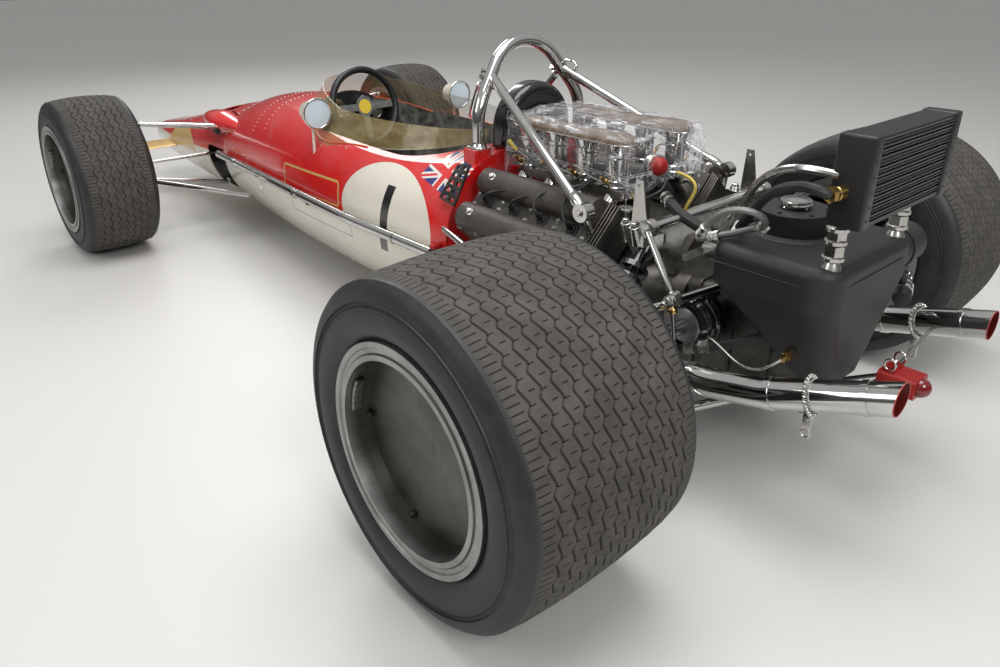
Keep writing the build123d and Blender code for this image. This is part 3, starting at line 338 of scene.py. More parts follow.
def spun_wheel(name, node):
    """Spun alloy: a lighter lip with a thin dark ring at its step as painted shade, and a dish with fine
    turned rings and stains.
    """
    finish = Finish(name, (0.4, 0.39, 0.36), 0.35, 0.85)
    reach = finish.about(box(node)[2], Y)[1]
    stain = finish.noise(9, 6, 0.65)
    speck = finish.noise(180, 2)
    lip = reach.above(0.1795, 0.002)
    # The thin dark ring at the step of the lip is painted shade in the groove between its two rings.
    step = abs(reach - 0.1925).below(0.0016, 0.001)
    mottle = (stain * 0.8 + speck * 0.2).above(0.5, 0.4)
    dish = finish.mix((0.072, 0.070, 0.063), (0.165, 0.162, 0.146), mottle)
    edge = finish.mix((0.20, 0.20, 0.195), (0.36, 0.36, 0.35), stain.above(0.45, 0.3))
    finish.set("Base Color", finish.mix(finish.mix(dish, edge, lip), (0.10, 0.10, 0.10), step))
    finish.set("Roughness", 0.30 + stain * 0.16)
    rings = (reach * 3600).math("SINE") * (1 - lip)
    return finish.bump(rings * 0.12 + speck * 0.2, 0.45, 0.0010)


def pipe_chrome():
    """Chromed pipes, with the ends of the tailpipes red inside, painted dark red deeper in the bore as
    painted shade.
    """
    finish = polished("pipe_chrome")
    axis = (pipe_end - pipe_bend).normalized()
    x, y, z = finish.split(finish.position())
    dx, dy, dz = x - pipe_bend.x, abs(y) - pipe_bend.y, z - pipe_bend.z
    along = dx * axis.x + dy * axis.y + dz * axis.z
    reach = (dx * dx + dy * dy + dz * dz - along * along).math("MAXIMUM", 0.0).math("SQRT")
    lined = reach.below(0.0322, 0.0004) * (x - rear_axle).below(-0.36)
    inside = lined.math("MAXIMUM", x.below(-1.9985, 0.0004))
    metal = finish.mix((0.54, 0.535, 0.52), (0.68, 0.675, 0.66), finish.noise(9, 4, 0.6).above(0.45, 0.3))
    # Bright red at the mouth; deeper in the bore the red is painted dark as painted shade.
    red_lining_and_bore_shade = finish.mix((0.48, 0.045, 0.03), (0.13, 0.008, 0.006), reach.below(0.0312, 0.0004))
    finish.set("Base Color", finish.mix(metal, red_lining_and_bore_shade, inside))
    finish.set("Metallic", 1 - inside)
    finish.set("Roughness", 0.08 + inside * 0.35)
    return finish


def wheel_rim_and_spokes():
    """Black rim, silver spokes and a plain yellow boss."""
    rim_black = (0.012, 0.012, 0.013)
    finish = Finish("steering_wheel_paint", rim_black, 0.32)
    column_rake = radians(14)
    along, reach = finish.about(at(1.640, 0, 0.605), (cos(column_rake), 0, -sin(column_rake)))
    spokes = reach.below(0.1225, 0.001) * along.below(0.0045, 0.0005)
    boss = reach.below(0.0265, 0.0005) * along.below(0.0235, 0.0005)
    metal = finish.mix((0.46, 0.46, 0.45), (0.62, 0.62, 0.61), finish.noise(40).above(0.5, 0.3))
    finish.set("Base Color", finish.mix(finish.mix(rim_black, metal, spokes), (0.72, 0.52, 0.05), boss))
    finish.set("Metallic", spokes * (1 - boss))
    finish.set("Roughness", 0.34 - spokes * 0.12)
    return finish.bump(finish.noise(300, 2), 0.15, 0.0008)


def amber_screen():
    """Clear amber sheet, smeared."""
    finish = Finish("amber_screen", (0.62, 0.33, 0.07), 0.05, Coat_Weight=0.5, Alpha=0.40)
    smear = finish.noise(7, 5, 0.6, (1, 1, 2.5))
    finish.set("Base Color", finish.mix((0.34, 0.25, 0.08), (0.56, 0.46, 0.22), smear.above(0.5, 0.3)))
    finish.set("Alpha", 0.12 + smear * 0.22)
    finish.set("Roughness", 0.04 + smear * 0.10)
    return finish


def clear_film():
    """Clear film: faint all over, with painted highlights along the crease lines, across the folds, along
    its top edges and in long streak lines on its top, a painted sheen over its top, and the lines of a hem
    and a bunched corner drawn in.
    """
    finish = Finish("clear_film", (0.93, 0.93, 0.97), 0.12, Coat_Weight=0.4)
    low, high, middle = box("intake_film")
    x, y, z = finish.split(finish.position())
    long_folds = finish.noise(1.0, 3, 0.5, (7, 42, 30))
    cross_folds = finish.noise(1.0, 2, 0.5, (30, 12, 24))
    # Thin white lines along the crease lines and across the folds (glints) are painted highlights.
    crease_highlights = abs(long_folds - 0.5).below(0.010, 0.014) * cross_folds.above(0.48, 0.10)
    glints = abs(cross_folds - 0.55).below(0.006, 0.01) * long_folds.above(0.54, 0.06)
    hem = abs(z - (low.z + 0.014)).below(0.0014, 0.001) + abs(z - (low.z + 0.020)).below(0.0008, 0.001)
    corner = in_ellipse(x, y, (low.x + 0.02, low.y + 0.02), (0.045, 0.05), 0.4)
    bunch = corner * z.below(high.z - 0.02, 0.02) * abs(finish.noise(75, 3) - 0.5).below(0.07, 0.05)
    lid = z.above(high.z - 0.030, 0.004)
    # Painted highlights along the top edges of the film (rim).
    top_edge_highlights = [abs(abs(place - at_middle) - reach + 0.009).below(0.0020, 0.002) for place, at_middle, reach in
            ((x, middle.x, (high.x - low.x) / 2), (y, 0, (high.y - low.y) / 2))]
    rim = top_edge_highlights[0].math("MAXIMUM", top_edge_highlights[1]) * lid * cross_folds.above(0.40, 0.10)
    # Painted highlights in long streak lines on the top of the film.
    long_highlight_lines = abs(finish.noise(1.0, 3, 0.5, (5, 60, 20)) - 0.5).below(0.016, 0.02)
    top_streak_highlights = long_highlight_lines * lid * cross_folds.above(0.46, 0.12)
    # The sum holds painted highlights (crease lines, glints, top edges, streak lines) and the real hem and
    # bunched corner.
    fine = crease_highlights * 0.50 + glints * 0.45 + hem * 0.42 + bunch * 0.50 + rim * 0.45 + top_streak_highlights * 0.40
    # The whole top (lid) gets a little more white: painted sheen.
    finish.set("Alpha", (fine + 0.075 + lid * 0.05).math("MINIMUM", 0.85))
    finish.set("Roughness", 0.10 + long_folds * 0.1)
    return finish.bump(long_folds * 0.7 + cross_folds * 0.3, 0.35, 0.006)


def gauze():
    """Fine wire weave, brown with dirt."""
    finish = Finish("tan_gauze", (0.34, 0.27, 0.17), 0.5, 0.3)
    x, y, z = finish.split(finish.position())
    weave = (x * 2200).math("SINE") * (y * 2200).math("SINE")
    shade = finish.noise(34, 5, 0.65)
    speckle = finish.noise(420, 2, 0.6)
    grain = (shade * 0.35 + speckle * 0.55 + weave * 0.06).above(0.45, 0.16)
    finish.set("Base Color", finish.mix((0.045, 0.032, 0.022), (0.27, 0.20, 0.14), grain))
    return finish.bump(weave, 0.5, 0.0006)


finishes = {
    "hull": hull_paint(),
    "chrome": polished("chrome_plate"),
    "alloy": cast_metal("cast_alloy", (0.20, 0.195, 0.18), (0.46, 0.45, 0.42), 0.42),
    "bright": cast_metal("bright_alloy", (0.48, 0.47, 0.44), (0.72, 0.71, 0.68), 0.26, grain=120, depth=0.1),
    "dark_alloy": cast_metal("oily_casting", (0.055, 0.05, 0.045), (0.19, 0.18, 0.165), 0.45),
    "covers": cast_metal("crackle_covers", (0.045, 0.038, 0.032), (0.10, 0.088, 0.076), 0.5, 0.35, 420, 0.5),
    "steel": cast_metal("grey_steel", (0.16, 0.16, 0.16), (0.38, 0.38, 0.38), 0.34, grain=300, depth=0.1),
    "tank": plain("tank_black", (0.022, 0.021, 0.020), 0.52, 320, 0.35),
    "satin": plain("satin_black", (0.018, 0.018, 0.019), 0.36, 200, 0.1),
    "rubber": plain("hose_rubber", (0.016, 0.016, 0.016), 0.5, 180, 0.2),
    "gloss": plain("gloss_black", (0.008, 0.008, 0.009), 0.12, 14, 0.05, Coat_Weight=0.7),
    "cloth": plain("seat_cloth", (0.025, 0.025, 0.027), 0.85, 600, 0.6),
    "red_metal": plain("red_casting", (0.36, 0.010, 0.007), 0.42, 60, 0.25),
    "cream_paint": plain("cream_enamel", cream, 0.22, 20, 0.05, shade=0.93, Coat_Weight=0.5),
    "gold_paint": plain("gold_paint", gold, 0.34, 40, 0.08, metallic=0.35),
    "brass": polished("brass", (0.55, 0.36, 0.13), 0.22),
    "yellow": plain("yellow_sleeve", (0.62, 0.47, 0.09), 0.42, 90),
    "braid": plain("braided_line", (0.34, 0.34, 0.33), 0.38, 900, 0.9, 0.5, metallic=0.8),
    "pipes": pipe_chrome(),
    "helm": wheel_rim_and_spokes(),
    # The mirror glass is painted pale blue-white: a painted reflection.
    "glass": plain("mirror_glass", (0.66, 0.80, 0.88), 0.12, 14, 0.02, shade=0.9, Coat_Weight=0.8),
    "leather": plain("head_leather", (0.010, 0.010, 0.011), 0.20, 240, 0.12, Coat_Weight=0.5),
    "orange": plain("orange_edge", (0.62, 0.10, 0.015), 0.3, 60, Coat_Weight=0.3),
    "red_lens": plain("red_lens", (0.20, 0.004, 0.004), 0.10, 30, 0.05, Coat_Weight=0.6),
    "screen": amber_screen(),
    "film": clear_film(),
    "gauze": gauze(),
}
nodes_by_finish = {
    "hull": ("monocoque", "nose_cone"),
    "satin": ("radiator", "dash_panel", "oil_cooler"),
    "gold_paint": ("canards",),
    "screen": ("windscreen",),
    "cloth": ("seat",),
    "gloss": ("headrest", "spring_dampers"),
    "cream_paint": ("mirrors",),
    "chrome": ("roll_hoop", "hoop_stays", "side_pipes", "intakes", "rear_links", "roll_bar", "rocker_arms",
               "lower_wishbones", "steering_rack"),
    "dark_alloy": ("engine_block", "cylinder_heads", "fuel_unit", "gearbox"),
    "covers": ("cam_covers",),
    "gauze": ("trumpet_screens",),
    "film": ("intake_film",),
    "alloy": ("ignition_unit", "rear_uprights", "knuckle_left", "knuckle_right"),
    "pipes": ("exhausts",),
    "bright": ("rear_crossbeam", "filler_cap", "cooler_unions"),
    "tank": ("oil_tank",),
    "red_metal": ("tail_block",),
    "steel": ("tail_bracket", "front_frame", "half_shaft_left", "half_shaft_right"),
    "helm": ("steering_wheel",),
}
node_finishes = {node: finish for finish, nodes in nodes_by_finish.items() for node in nodes}
for name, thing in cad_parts.items():
    kind, _, place = name.partition("_")
    if kind == "tyre":
        finishes[name] = tyre_rubber(name + "_rubber", name, *tread_pattern[place.split("_")[0]])
    elif kind == "rim":
        finishes[name] = spun_wheel(name + "_spun", name)
    thing.data.materials.clear()
    thing.data.materials.append(finishes[node_finishes.get(name, name)].material)
    thing.data.shade_smooth()
    thing.data.set_sharp_from_angle(angle=radians(32))

# Making of pieces


def choose(*things):
    """Selects these objects and nothing else."""
    bpy.ops.object.select_all(action="DESELECT")
    for thing in things:
        thing.select_set(True)
    bpy.context.view_layer.objects.active = things[0]


def edit(piece):
    """Opens a piece for editing, with all of it selected."""
    choose(piece)
    bpy.ops.object.mode_set(mode="EDIT")
    bpy.ops.mesh.select_all(action="SELECT")


def settle(piece, name, finish, body="chassis", crease=35):
    """Names a finished piece, puts its place into its mesh, and gives it its finish and its body."""
    piece.name = piece.data.name = name
    choose(piece)
    bpy.ops.object.transform_apply(location=True, rotation=True, scale=True)
    piece.data.materials.clear()
    piece.data.materials.append(finishes[finish].material)
    piece.data.shade_smooth()
    piece.data.set_sharp_from_angle(angle=radians(crease))
    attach(piece, body)
    return piece


def aimed(piece, place, axis):
    """Turns a piece's own Z along the axis and stands it at the place."""
    piece.rotation_euler = Vector(axis).to_track_quat("Z", "Y").to_euler()
    piece.location = place
    return piece


def face_outward(piece, merge=0.0):
    """Makes one corner of corners nearer than the merge distance, and turns all faces outward."""
    edit(piece)
    if merge:
        bpy.ops.mesh.remove_doubles(threshold=merge)
    bpy.ops.mesh.normals_make_consistent(inside=False)
    bpy.ops.object.mode_set(mode="OBJECT")


def lathe(place, axis, profile, around=32):
    """A round piece along an axis. The profile is a row of (distance, radius)."""
    bpy.ops.object.select_all(action="DESELECT")
    bpy.ops.mesh.primitive_circle_add(vertices=around, radius=profile[0][1], fill_type="NGON")
    piece = bpy.context.object
    edit(piece)
    bpy.ops.transform.translate(value=(0, 0, profile[0][0]))
    for before, after in zip(profile, profile[1:]):
        bpy.ops.mesh.extrude_region_move(TRANSFORM_OT_translate={"value": (0, 0, after[0] - before[0])})
        grow = after[1] / before[1]
        bpy.ops.transform.resize(value=(grow, grow, 1), center_override=(0, 0, after[0]))
    bpy.ops.object.mode_set(mode="OBJECT")
    face_outward(piece)
    return aimed(piece, place, axis)


def band(start, end, foot, top, slope=0.0005):
    """Profile of a raised band: its ends, its radius at the foot and on top, and its slopes."""
    return [(start, foot), (start + slope, top), (end - slope, top), (end, foot)]


def tube(points, radius, closed=False, order=3, roundness=3):
    """A round hose, rod or wire along a smooth line through its route."""
    bpy.ops.object.select_all(action="DESELECT")
    bpy.ops.curve.primitive_nurbs_path_add()
    path = bpy.context.object
    path.data.splines.clear()
    line = path.data.splines.new("NURBS")
    line.points.add(len(points) - 1)
    for point, place in zip(line.points, points):
        point.co = (*place, 1)
    line.order_u = min(order, len(points))
    line.use_endpoint_u = not closed
    line.use_cyclic_u = closed
    line.resolution_u = 6
    path.location = origin
    path.data.bevel_depth = radius
    path.data.bevel_resolution = roundness
    path.data.use_fill_caps = not closed
    choose(path)
    bpy.ops.object.convert(target="MESH")
    return bpy.context.object


def hose(name, finish, radius, *rows):
    """A finished hose, rod or wire along rows of station, across and height."""
    settle(tube(route(*rows), radius), name, finish)


def ellipse(centre, first, second, count):
    """Places round an ellipse, given by its centre and its two half axes."""
    turns = [step / count * 2 * pi for step in range(count)]
    return [centre + first * cos(turn) + second * sin(turn) for turn in turns]


def joined(*things):
    """One object of several."""
    choose(*things)
    if len(things) > 1:
        bpy.ops.object.join()
    return bpy.context.object


def copies(first, places, axes=None):
    """Copies a piece, made at the origin, to each place, and joins the copies."""
    made = []
    for index, place in enumerate(places):
        copy = first.copy()
        copy.data = first.data.copy()
        bpy.context.scene.collection.objects.link(copy)
        axis = axes[index] if isinstance(axes, (list, tuple)) else (axes or Z)
        made.append(aimed(copy, place, axis))
    bpy.data.objects.remove(first)
    return joined(*made)


def block(size, place=origin, turn=origin, rounding=0.0012, segments=2):
    """A block with rounded edges, turned about its own middle."""
    bpy.ops.object.select_all(action="DESELECT")
    bpy.ops.mesh.primitive_cube_add(size=1)
    piece = bpy.context.object
    edit(piece)
    bpy.ops.transform.resize(value=size)
    bpy.ops.mesh.bevel(offset=rounding, segments=segments, affect="EDGES")
    bpy.ops.object.mode_set(mode="OBJECT")
    piece.rotation_euler = turn
    piece.location = place
    return piece


def hexagon_bolt(size=0.006, height=0.005):
    """A hexagon head on its washer, at the origin."""
    washer = lathe(origin, Z, [(0, size * 1.35), (height * 0.25, size * 1.35)], 16)
    head = lathe(origin, Z, [(height * 0.2, size), (height * 0.85, size), (height, size * 0.8)], 6)
    return joined(washer, head)


def dome(radius=0.003, height=0.0016):
    """A rivet head, at the origin."""
    return lathe(origin, Z, [(0, radius), (height * 0.6, radius * 0.8), (height, radius * 0.35)], 10)


def surface_point(node, start, aim):
    """Where a line from a start towards an aim meets a CAD node, and which way the surface faces there."""
    hit, place, normal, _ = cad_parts[node].ray_cast(start, (aim - start).normalized())
    return (place, normal) if hit else (aim, (start - aim).normalized())


# Tyres: a tread with stepped grooves round it, on the CAD tyre's own outline

groove_depth = 0.0045
groove_half_width = 0.0014
groove_section = ((-2.0, 0), (-0.7, 1), (0.7, 1), (2.0, 0))
groove_swing = 0.011
slant_share = 0.74
crown_drop = 0.009
shoulder_width, shoulder_drop = 0.012, 0.0115
bead_inset = 0.007 + 0.009
inner_reach = 0.1935
wall_rows = (
    # inset from the widest place, drop from the crown
    (0.014, 0.018), (0.008, 0.028), (0.005, 0.041), (0.0045, 0.0445), (0.0015, 0.046), (0.0045, 0.0475),
    (0.0035, 0.052), (0.001, 0.0535), (0.0035, 0.055), (0.0005, 0.075), (0.003, 0.095),
)
bead_rows = (
    # shift outward from the bead's place, distance from the axle
    (0.001, 0.2155), (-0.006, 0.2105),
)


def sawtooth(turn, count):
    """Sideways step of a groove: a long slant and a short way back."""
    share = (turn * count) % 1
    return (share / slant_share if share < slant_share else (1 - share) / (1 - slant_share)) - 0.5


def treaded_tyre(node, body, grooves, teeth):
    """A tyre in place of its CAD node: ribs parted by grooves that step sideways, and moulded walls."""
    low, high, centre = box(node)
    radius, half = (high.z - low.z) / 2, (high.y - low.y) / 2
    tread, bead = half - tread_margin, half - bead_inset
    wall = [(tread + shoulder_width, radius - shoulder_drop)]
    wall += [(half - inset, radius - drop) for inset, drop in wall_rows]
    wall += [(bead + shift, reach) for shift, reach in bead_rows]
    pitch = 2 * tread / (grooves + 1)
    inner = [(wall[-1][0], inner_reach, 0), (-wall[-1][0], inner_reach, 0)]
    columns = inner[1:] + [(-across, reach, 0) for across, reach in reversed(wall)]
    for rib in range(grooves + 1):
        middle = -tread + (rib + 0.5) * pitch
        columns.append((middle, radius - crown_drop * (middle / tread) ** 2, 0))
        if rib < grooves:
            edge = middle + pitch / 2
            top = radius - crown_drop * (edge / tread) ** 2
            for shift, drop in groove_section:
                columns.append((edge + shift * groove_half_width, top - drop * groove_depth, 1))
    columns += [(across, reach, 0) for across, reach in wall] + inner
    last, steps = len(columns) - 1, teeth * 8
    bpy.ops.object.select_all(action="DESELECT")
    bpy.ops.mesh.primitive_grid_add(x_subdivisions=last, y_subdivisions=steps, size=2)
    tyre = bpy.context.object
    for vertex in tyre.data.vertices:
        across, reach, grooved = columns[round((vertex.co.x + 1) / 2 * last)]
        turn = (vertex.co.y + 1) / 2
        angle = turn * 2 * pi
        if grooved:
            row = round((across + tread) / pitch)
            across += sawtooth(turn + row * row_stagger / teeth, teeth) * groove_swing
        vertex.co = centre + Vector((reach * sin(angle), across, reach * cos(angle)))
    face_outward(tyre, merge=0.00005)
    settle(tyre, node + "_tread", node, body, 28)
    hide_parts(node)


for label, _ in flanks:
    for end, (grooves, teeth) in tread_pattern.items():
        treaded_tyre(f"tyre_{end}_{label}", f"wheel_{end}_{label}", grooves, teeth)

# Film over the intakes: one thin sheet, creased all over, that hangs down on all sides

row_across = 0.118
film_low, film_high, film_middle = box("intake_film")
film_half = (film_high - film_low) / 2
skirt = 0.125
flat_half = film_half + Vector((skirt, skirt, 0))
hem_inset = 0.008
bend_start = 0.02
bend_power = 1.6


def draped(u, v):
    """Place on the film of a point of its flat cut, with u and v from -1 to 1."""
    along, across = u * flat_half.x, v * flat_half.y
    over_x = max(abs(along) - film_half.x + bend_start, 0)
    over_y = max(abs(across) - film_half.y + bend_start, 0)
    fall = (over_x ** bend_power + over_y ** bend_power) ** (1 / bend_power)
    x = min(max(along, -film_half.x + hem_inset), film_half.x - hem_inset)
    y = min(max(across, -film_half.y + hem_inset), film_half.y - hem_inset)
    over = 1 if fall > 0 else 0
    tent = 0.0045 * cos(across * pi / row_across) - 0.004 * (along / flat_half.x) ** 2
    lift = 0.006 * max(-along / film_half.x, 0) ** 6 * (abs(across) / film_half.y) ** 2 * (1 - over)
    folds = fold.noise(Vector((along * 5, across * 24, 0.3))) * 0.0045
    ridge = max(0, 1 - abs(fold.noise(Vector((along * 7 + 4, across * 17, 1.7)))) * 5) * 0.004
    z = film_high.z - 0.0065 + tent + lift + (folds + ridge * 0.6) * (1 - over * 0.8) - fall * 0.97
    z += 0.010 * sin(along * 9 + across * 7) * (fall / skirt) ** 2
    wave = fold.noise(Vector((along * 11, across * 11, fall * 9))) * 0.010 + ridge
    way = Vector((over_x * (1 if u > 0 else -1), over_y * (1 if v > 0 else -1), 0)).normalized()
    return Vector((film_middle.x + x, y, z)) + way * (wave - 0.003)


bpy.ops.object.select_all(action="DESELECT")
bpy.ops.mesh.primitive_grid_add(x_subdivisions=150, y_subdivisions=120, size=2)
film = bpy.context.object
for vertex in film.data.vertices:
    vertex.co = draped(vertex.co.x, vertex.co.y)
face_outward(film)
settle(film, "clear_cover", "film", crease=180)
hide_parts("intake_film")

# Gauze over the two rows of trumpets, each on a bright rim

bore_pitch = 0.104
gauze_half_length, gauze_half_width = 0.203, 0.038
gauze_middle, gauze_sag = 0.439, 0.0035


def stretched(share, middle):
    """A place along a gauze, from its share of a circle: the halves stand apart by the straight part."""
    straight = gauze_half_length - gauze_half_width
    return share * gauze_half_width + straight * ((share > middle) - (share < -middle))


low, high, _ = box("trumpet_screens")
for label, side in flanks:
    middle = at(gauze_middle, side * row_across, low.z)
    bpy.ops.object.select_all(action="DESELECT")
    bpy.ops.mesh.primitive_uv_sphere_add(segments=64, ring_count=24, radius=1)
    gauze_dome = bpy.context.object
    for vertex in gauze_dome.data.vertices:
        x, up = stretched(vertex.co.x, 0.001), max(vertex.co.z, 0)
        sag = gauze_sag * cos((x / bore_pitch + 0.5) * 2 * pi) * up
        vertex.co = middle + Vector((x, vertex.co.y * gauze_half_width, up * (high.z - low.z - 0.004) + sag))
    settle(gauze_dome, "gauze_dome_" + label, "gauze", crease=60)
    outline = ellipse(Vector(origin), X, Y, 40)
    rim = [middle + Vector((stretched(p.x, 0.01), p.y * gauze_half_width, 0.001)) for p in outline]
    settle(tube(rim, 0.0021, closed=True, roundness=2), "gauze_rim_" + label, "bright")
    if side == 1:
        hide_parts("trumpet_screens")

# Engine top: dome nuts, bolts, plug caps with their leads, ribbed head ends, slotted plates, throttle links

bank_lean = pi / 4
crank_height = 0.238
head_top, cover_top = 0.385, 0.4265
plug_stations = [0.597 - bore_pitch * bore for bore in range(4)]
dome_nut = [(0, 0.0115), (0.002, 0.0115), (0.003, 0.0085), (0.008, 0.0082), (0.011, 0.005), (0.012, 0.002)]
plug_cap = [(0.0, 0.0175), (0.003, 0.0175), (0.0035, 0.0145), (0.0012, 0.0140), (0.0014, 0.0105),
            (0.006, 0.0100), (0.0065, 0.0070), (0.020, 0.0062), (0.030, 0.0045)]
lead_routes = (
    ((0.570, 0.292, 0.548), (0.530, 0.268, 0.560), (0.459, 0.252, 0.560), (0.402, 0.205, 0.585),
     (0.370, 0.160, 0.605), (0.36, 0.10, 0.61)),
    ((0.478, 0.292, 0.548), (0.445, 0.272, 0.562), (0.410, 0.250, 0.566), (0.360, 0.215, 0.580),
     (0.340, 0.160, 0.60), (0.35, 0.10, 0.61)),
    ((0.398, 0.298, 0.545), (0.404, 0.280, 0.574), (0.385, 0.245, 0.585), (0.350, 0.205, 0.590),
     (0.335, 0.150, 0.60), (0.34, 0.10, 0.61)),
    ((0.296, 0.298, 0.545), (0.309, 0.282, 0.577), (0.318, 0.245, 0.592), (0.325, 0.200, 0.595),
     (0.335, 0.150, 0.60), (0.34, 0.09, 0.60)),
)
plate_corners = ((0.637, 0.300, 0.612), (0.692, 0.298, 0.603), (0.736, 0.334, 0.505), (0.655, 0.345, 0.500))
throttle_rod = ((0.645, 0.150, 0.652), (0.52, 0.172, 0.620), (0.353, 0.205, 0.596), (0.236, 0.262, 0.556))
throttle_sleeve = ((0.648, 0.152, 0.653), (0.625, 0.155, 0.643), (0.603, 0.158, 0.634))


def on_bank(station, reach, across, side):
    """A place on a cylinder bank, by its reach from the crank and its place across the head."""
    out = reach * sin(bank_lean) + across * cos(bank_lean)
    return at(station, side * out, crank_height + reach * cos(bank_lean) - across * sin(bank_lean))


def slotted_plate(corners):
    """A plate with slots, spread between four corners."""
    bpy.ops.object.select_all(action="DESELECT")
    bpy.ops.mesh.primitive_grid_add(x_subdivisions=2, y_subdivisions=5, size=1)
    plate = bpy.context.object
    for vertex in plate.data.vertices:
        u, v = vertex.co.x + 0.5, 0.5 - vertex.co.y
        vertex.co = corners[0].lerp(corners[1], u).lerp(corners[3].lerp(corners[2], u), v)
    edit(plate)
    bpy.ops.mesh.inset(thickness=0.006, use_individual=True)
    bpy.ops.mesh.delete(type="FACE")
    bpy.ops.object.mode_set(mode="OBJECT")
    thicker = plate.modifiers.new("thicker", "SOLIDIFY")
    thicker.thickness = 0.008
    thicker.offset = 0
    rounded = plate.modifiers.new("rounded", "BEVEL")
    rounded.width = 0.0015
    rounded.segments = 2
    for name in ("thicker", "rounded"):
        bpy.ops.object.modifier_apply(modifier=name)
    return plate


for label, side in flanks:
    out = Vector((0, side * sin(bank_lean), cos(bank_lean)))
    spots = [(station, across) for across in (-0.057, 0.057) for station in (0.594, 0.275)]
    nuts = [on_bank(station, cover_top, across, side) for station, across in spots]
    settle(copies(lathe(origin, Z, dome_nut, 20), nuts, out), "cover_nuts_" + label, "bright")
    places = []
    for across in (-0.0135, 0.0135):
        for station in (0.643, 0.545, 0.441, 0.337, 0.243):
            places.append(on_bank(station, head_top, across * (1 + 0.2 * sin(station * 90)), side))
    for across in (-0.092, 0.092):
        places += [on_bank(0.635 - step * 0.064, head_top, across, side) for step in range(7)]
    settle(copies(hexagon_bolt(0.0055, 0.0075), places, out), "head_bolts_" + label, "alloy")
    plugs = [on_bank(station, head_top, 0, side) for station in plug_stations]
    settle(copies(lathe(origin, Z, plug_cap, 28), plugs, out), "plug_caps_" + label, "rubber")
    leads = []
    for station, rows in zip(plug_stations, lead_routes):
        start = [on_bank(station, 0.400, 0, side), on_bank(station - 0.006, 0.418, 0, side)]
        leads.append(tube(start + route(*rows, side=side), 0.0036))
    settle(joined(*leads), "plug_leads_" + label, "rubber")
    plates = []
    for index in range(4):
        size = (0.004, 0.188, 0.118 - index * 0.006)
        place = on_bank(0.221 - index * 0.007, 0.333, 0, side)
        plates.append(block(size, place, (-side * bank_lean, 0, 0)))
    settle(joined(*plates), "head_end_ribs_" + label, "dark_alloy")
    settle(slotted_plate(route(*plate_corners, side=side)), "slotted_plate_" + label, "dark_alloy")
    rod = route(*throttle_rod, side=side)
    eye = lathe(rod[-1], Y, [(-0.006, 0.009), (0.006, 0.009)], 20)
    settle(joined(tube(rod, 0.0038), eye), "throttle_link_" + label, "steel")
    settle(tube(route(*throttle_sleeve, side=side), 0.0062), "yellow_sleeve_" + label, "yellow")

# Intake details: rings round the trumpets, injectors and their pipes

injector = [(0, 0.006), (0.016, 0.006), (0.017, 0.0042), (0.034, 0.0042)]
rings, pipes, injectors = [], [], []
for side in sides:
    for station in plug_stations:
        for height, reach in ((0.592, 0.0315), (0.606, 0.0285), (0.662, 0.0275)):
            profile = [(0, reach), (0.0025, reach + 0.0022), (0.005, reach)]
            rings.append(lathe(at(station, side * row_across, height), Z, profile, 32))
        injectors.append(lathe(at(station, side * 0.150, 0.604), (0, side * 0.8, 0.6), injector, 14))
        line = ((station, 0.168, 0.627), (station - 0.012, 0.186, 0.648), (station - 0.05, 0.172, 0.622),
                (station - 0.09, 0.15, 0.600), (0.22, 0.09, 0.598))
        pipes.append(tube(route(*line, side=side), 0.0023, roundness=2))
settle(joined(*rings), "trumpet_rings", "chrome")
settle(joined(*injectors), "injectors", "brass")
settle(joined(*pipes), "injector_pipes", "braid")

# Red cap at the end of the fuel unit, in its ring, with two leads, and the water cap with its yellow hose

cap_place, cap_axis = at(0.222, 0.035, 0.640), Vector((-0.93, 0.30, 0.12))
red_cap = [(-0.03, 0.020), (0.0, 0.023), (0.006, 0.0235), (0.014, 0.020), (0.019, 0.012), (0.021, 0.004)]
cap_ring = [(-0.022, 0.0275), (-0.020, 0.0305), (-0.004, 0.0305), (-0.002, 0.0275), (-0.0022, 0.0240)]
water_cap = [(-0.06, 0.010), (0.006, 0.010), (0.006, 0.0195), (0.0075, 0.0215), (0.012, 0.0215),
             (0.013, 0.0195), (0.0125, 0.0140)]
settle(lathe(cap_place, cap_axis, red_cap), "red_cap", "red_metal")
settle(lathe(cap_place, cap_axis, cap_ring), "cap_ring", "bright")
hose("yellow_cable", "yellow", 0.0042, (0.19, 0.0, 0.624), (0.16, -0.004, 0.622), (0.128, 0.0, 0.604),
     (0.135, 0.002, 0.575), (0.150, 0.004, 0.548), (0.16, 0.01, 0.50))
hose("cap_lead", "rubber", 0.003, (0.20, 0.03, 0.622), (0.175, 0.06, 0.600), (0.19, 0.09, 0.582),
     (0.21, 0.11, 0.57))
settle(lathe(at(0.201, 0.178, 0.555), Z, water_cap, 36), "water_cap", "bright")
hose("yellow_hose", "yellow", 0.0075, (0.205, 0.176, 0.552), (0.212, 0.182, 0.535), (0.222, 0.180, 0.505),
     (0.235, 0.165, 0.47))

# Hose from the vee to the beam, with its two bands

hose("water_hose", "rubber", 0.014, (0.155, 0.09, 0.585), (0.120, 0.11, 0.578), (0.075, 0.12, 0.560),
     (0.02, 0.11, 0.540))
hose_way = (-0.9, 0.38, -0.1)
bands = [lathe(at(0.134, 0.103, 0.582), hose_way, band(0, 0.0095, 0.0150, 0.0162), 28),
         lathe(at(0.152, 0.092, 0.586), hose_way, band(0, 0.0075, 0.0150, 0.0162), 28)]
settle(joined(*bands), "hose_bands", "bright")

# Anti-roll bar: forks on the beam, bolts, and eyes, nuts and rings of the levers

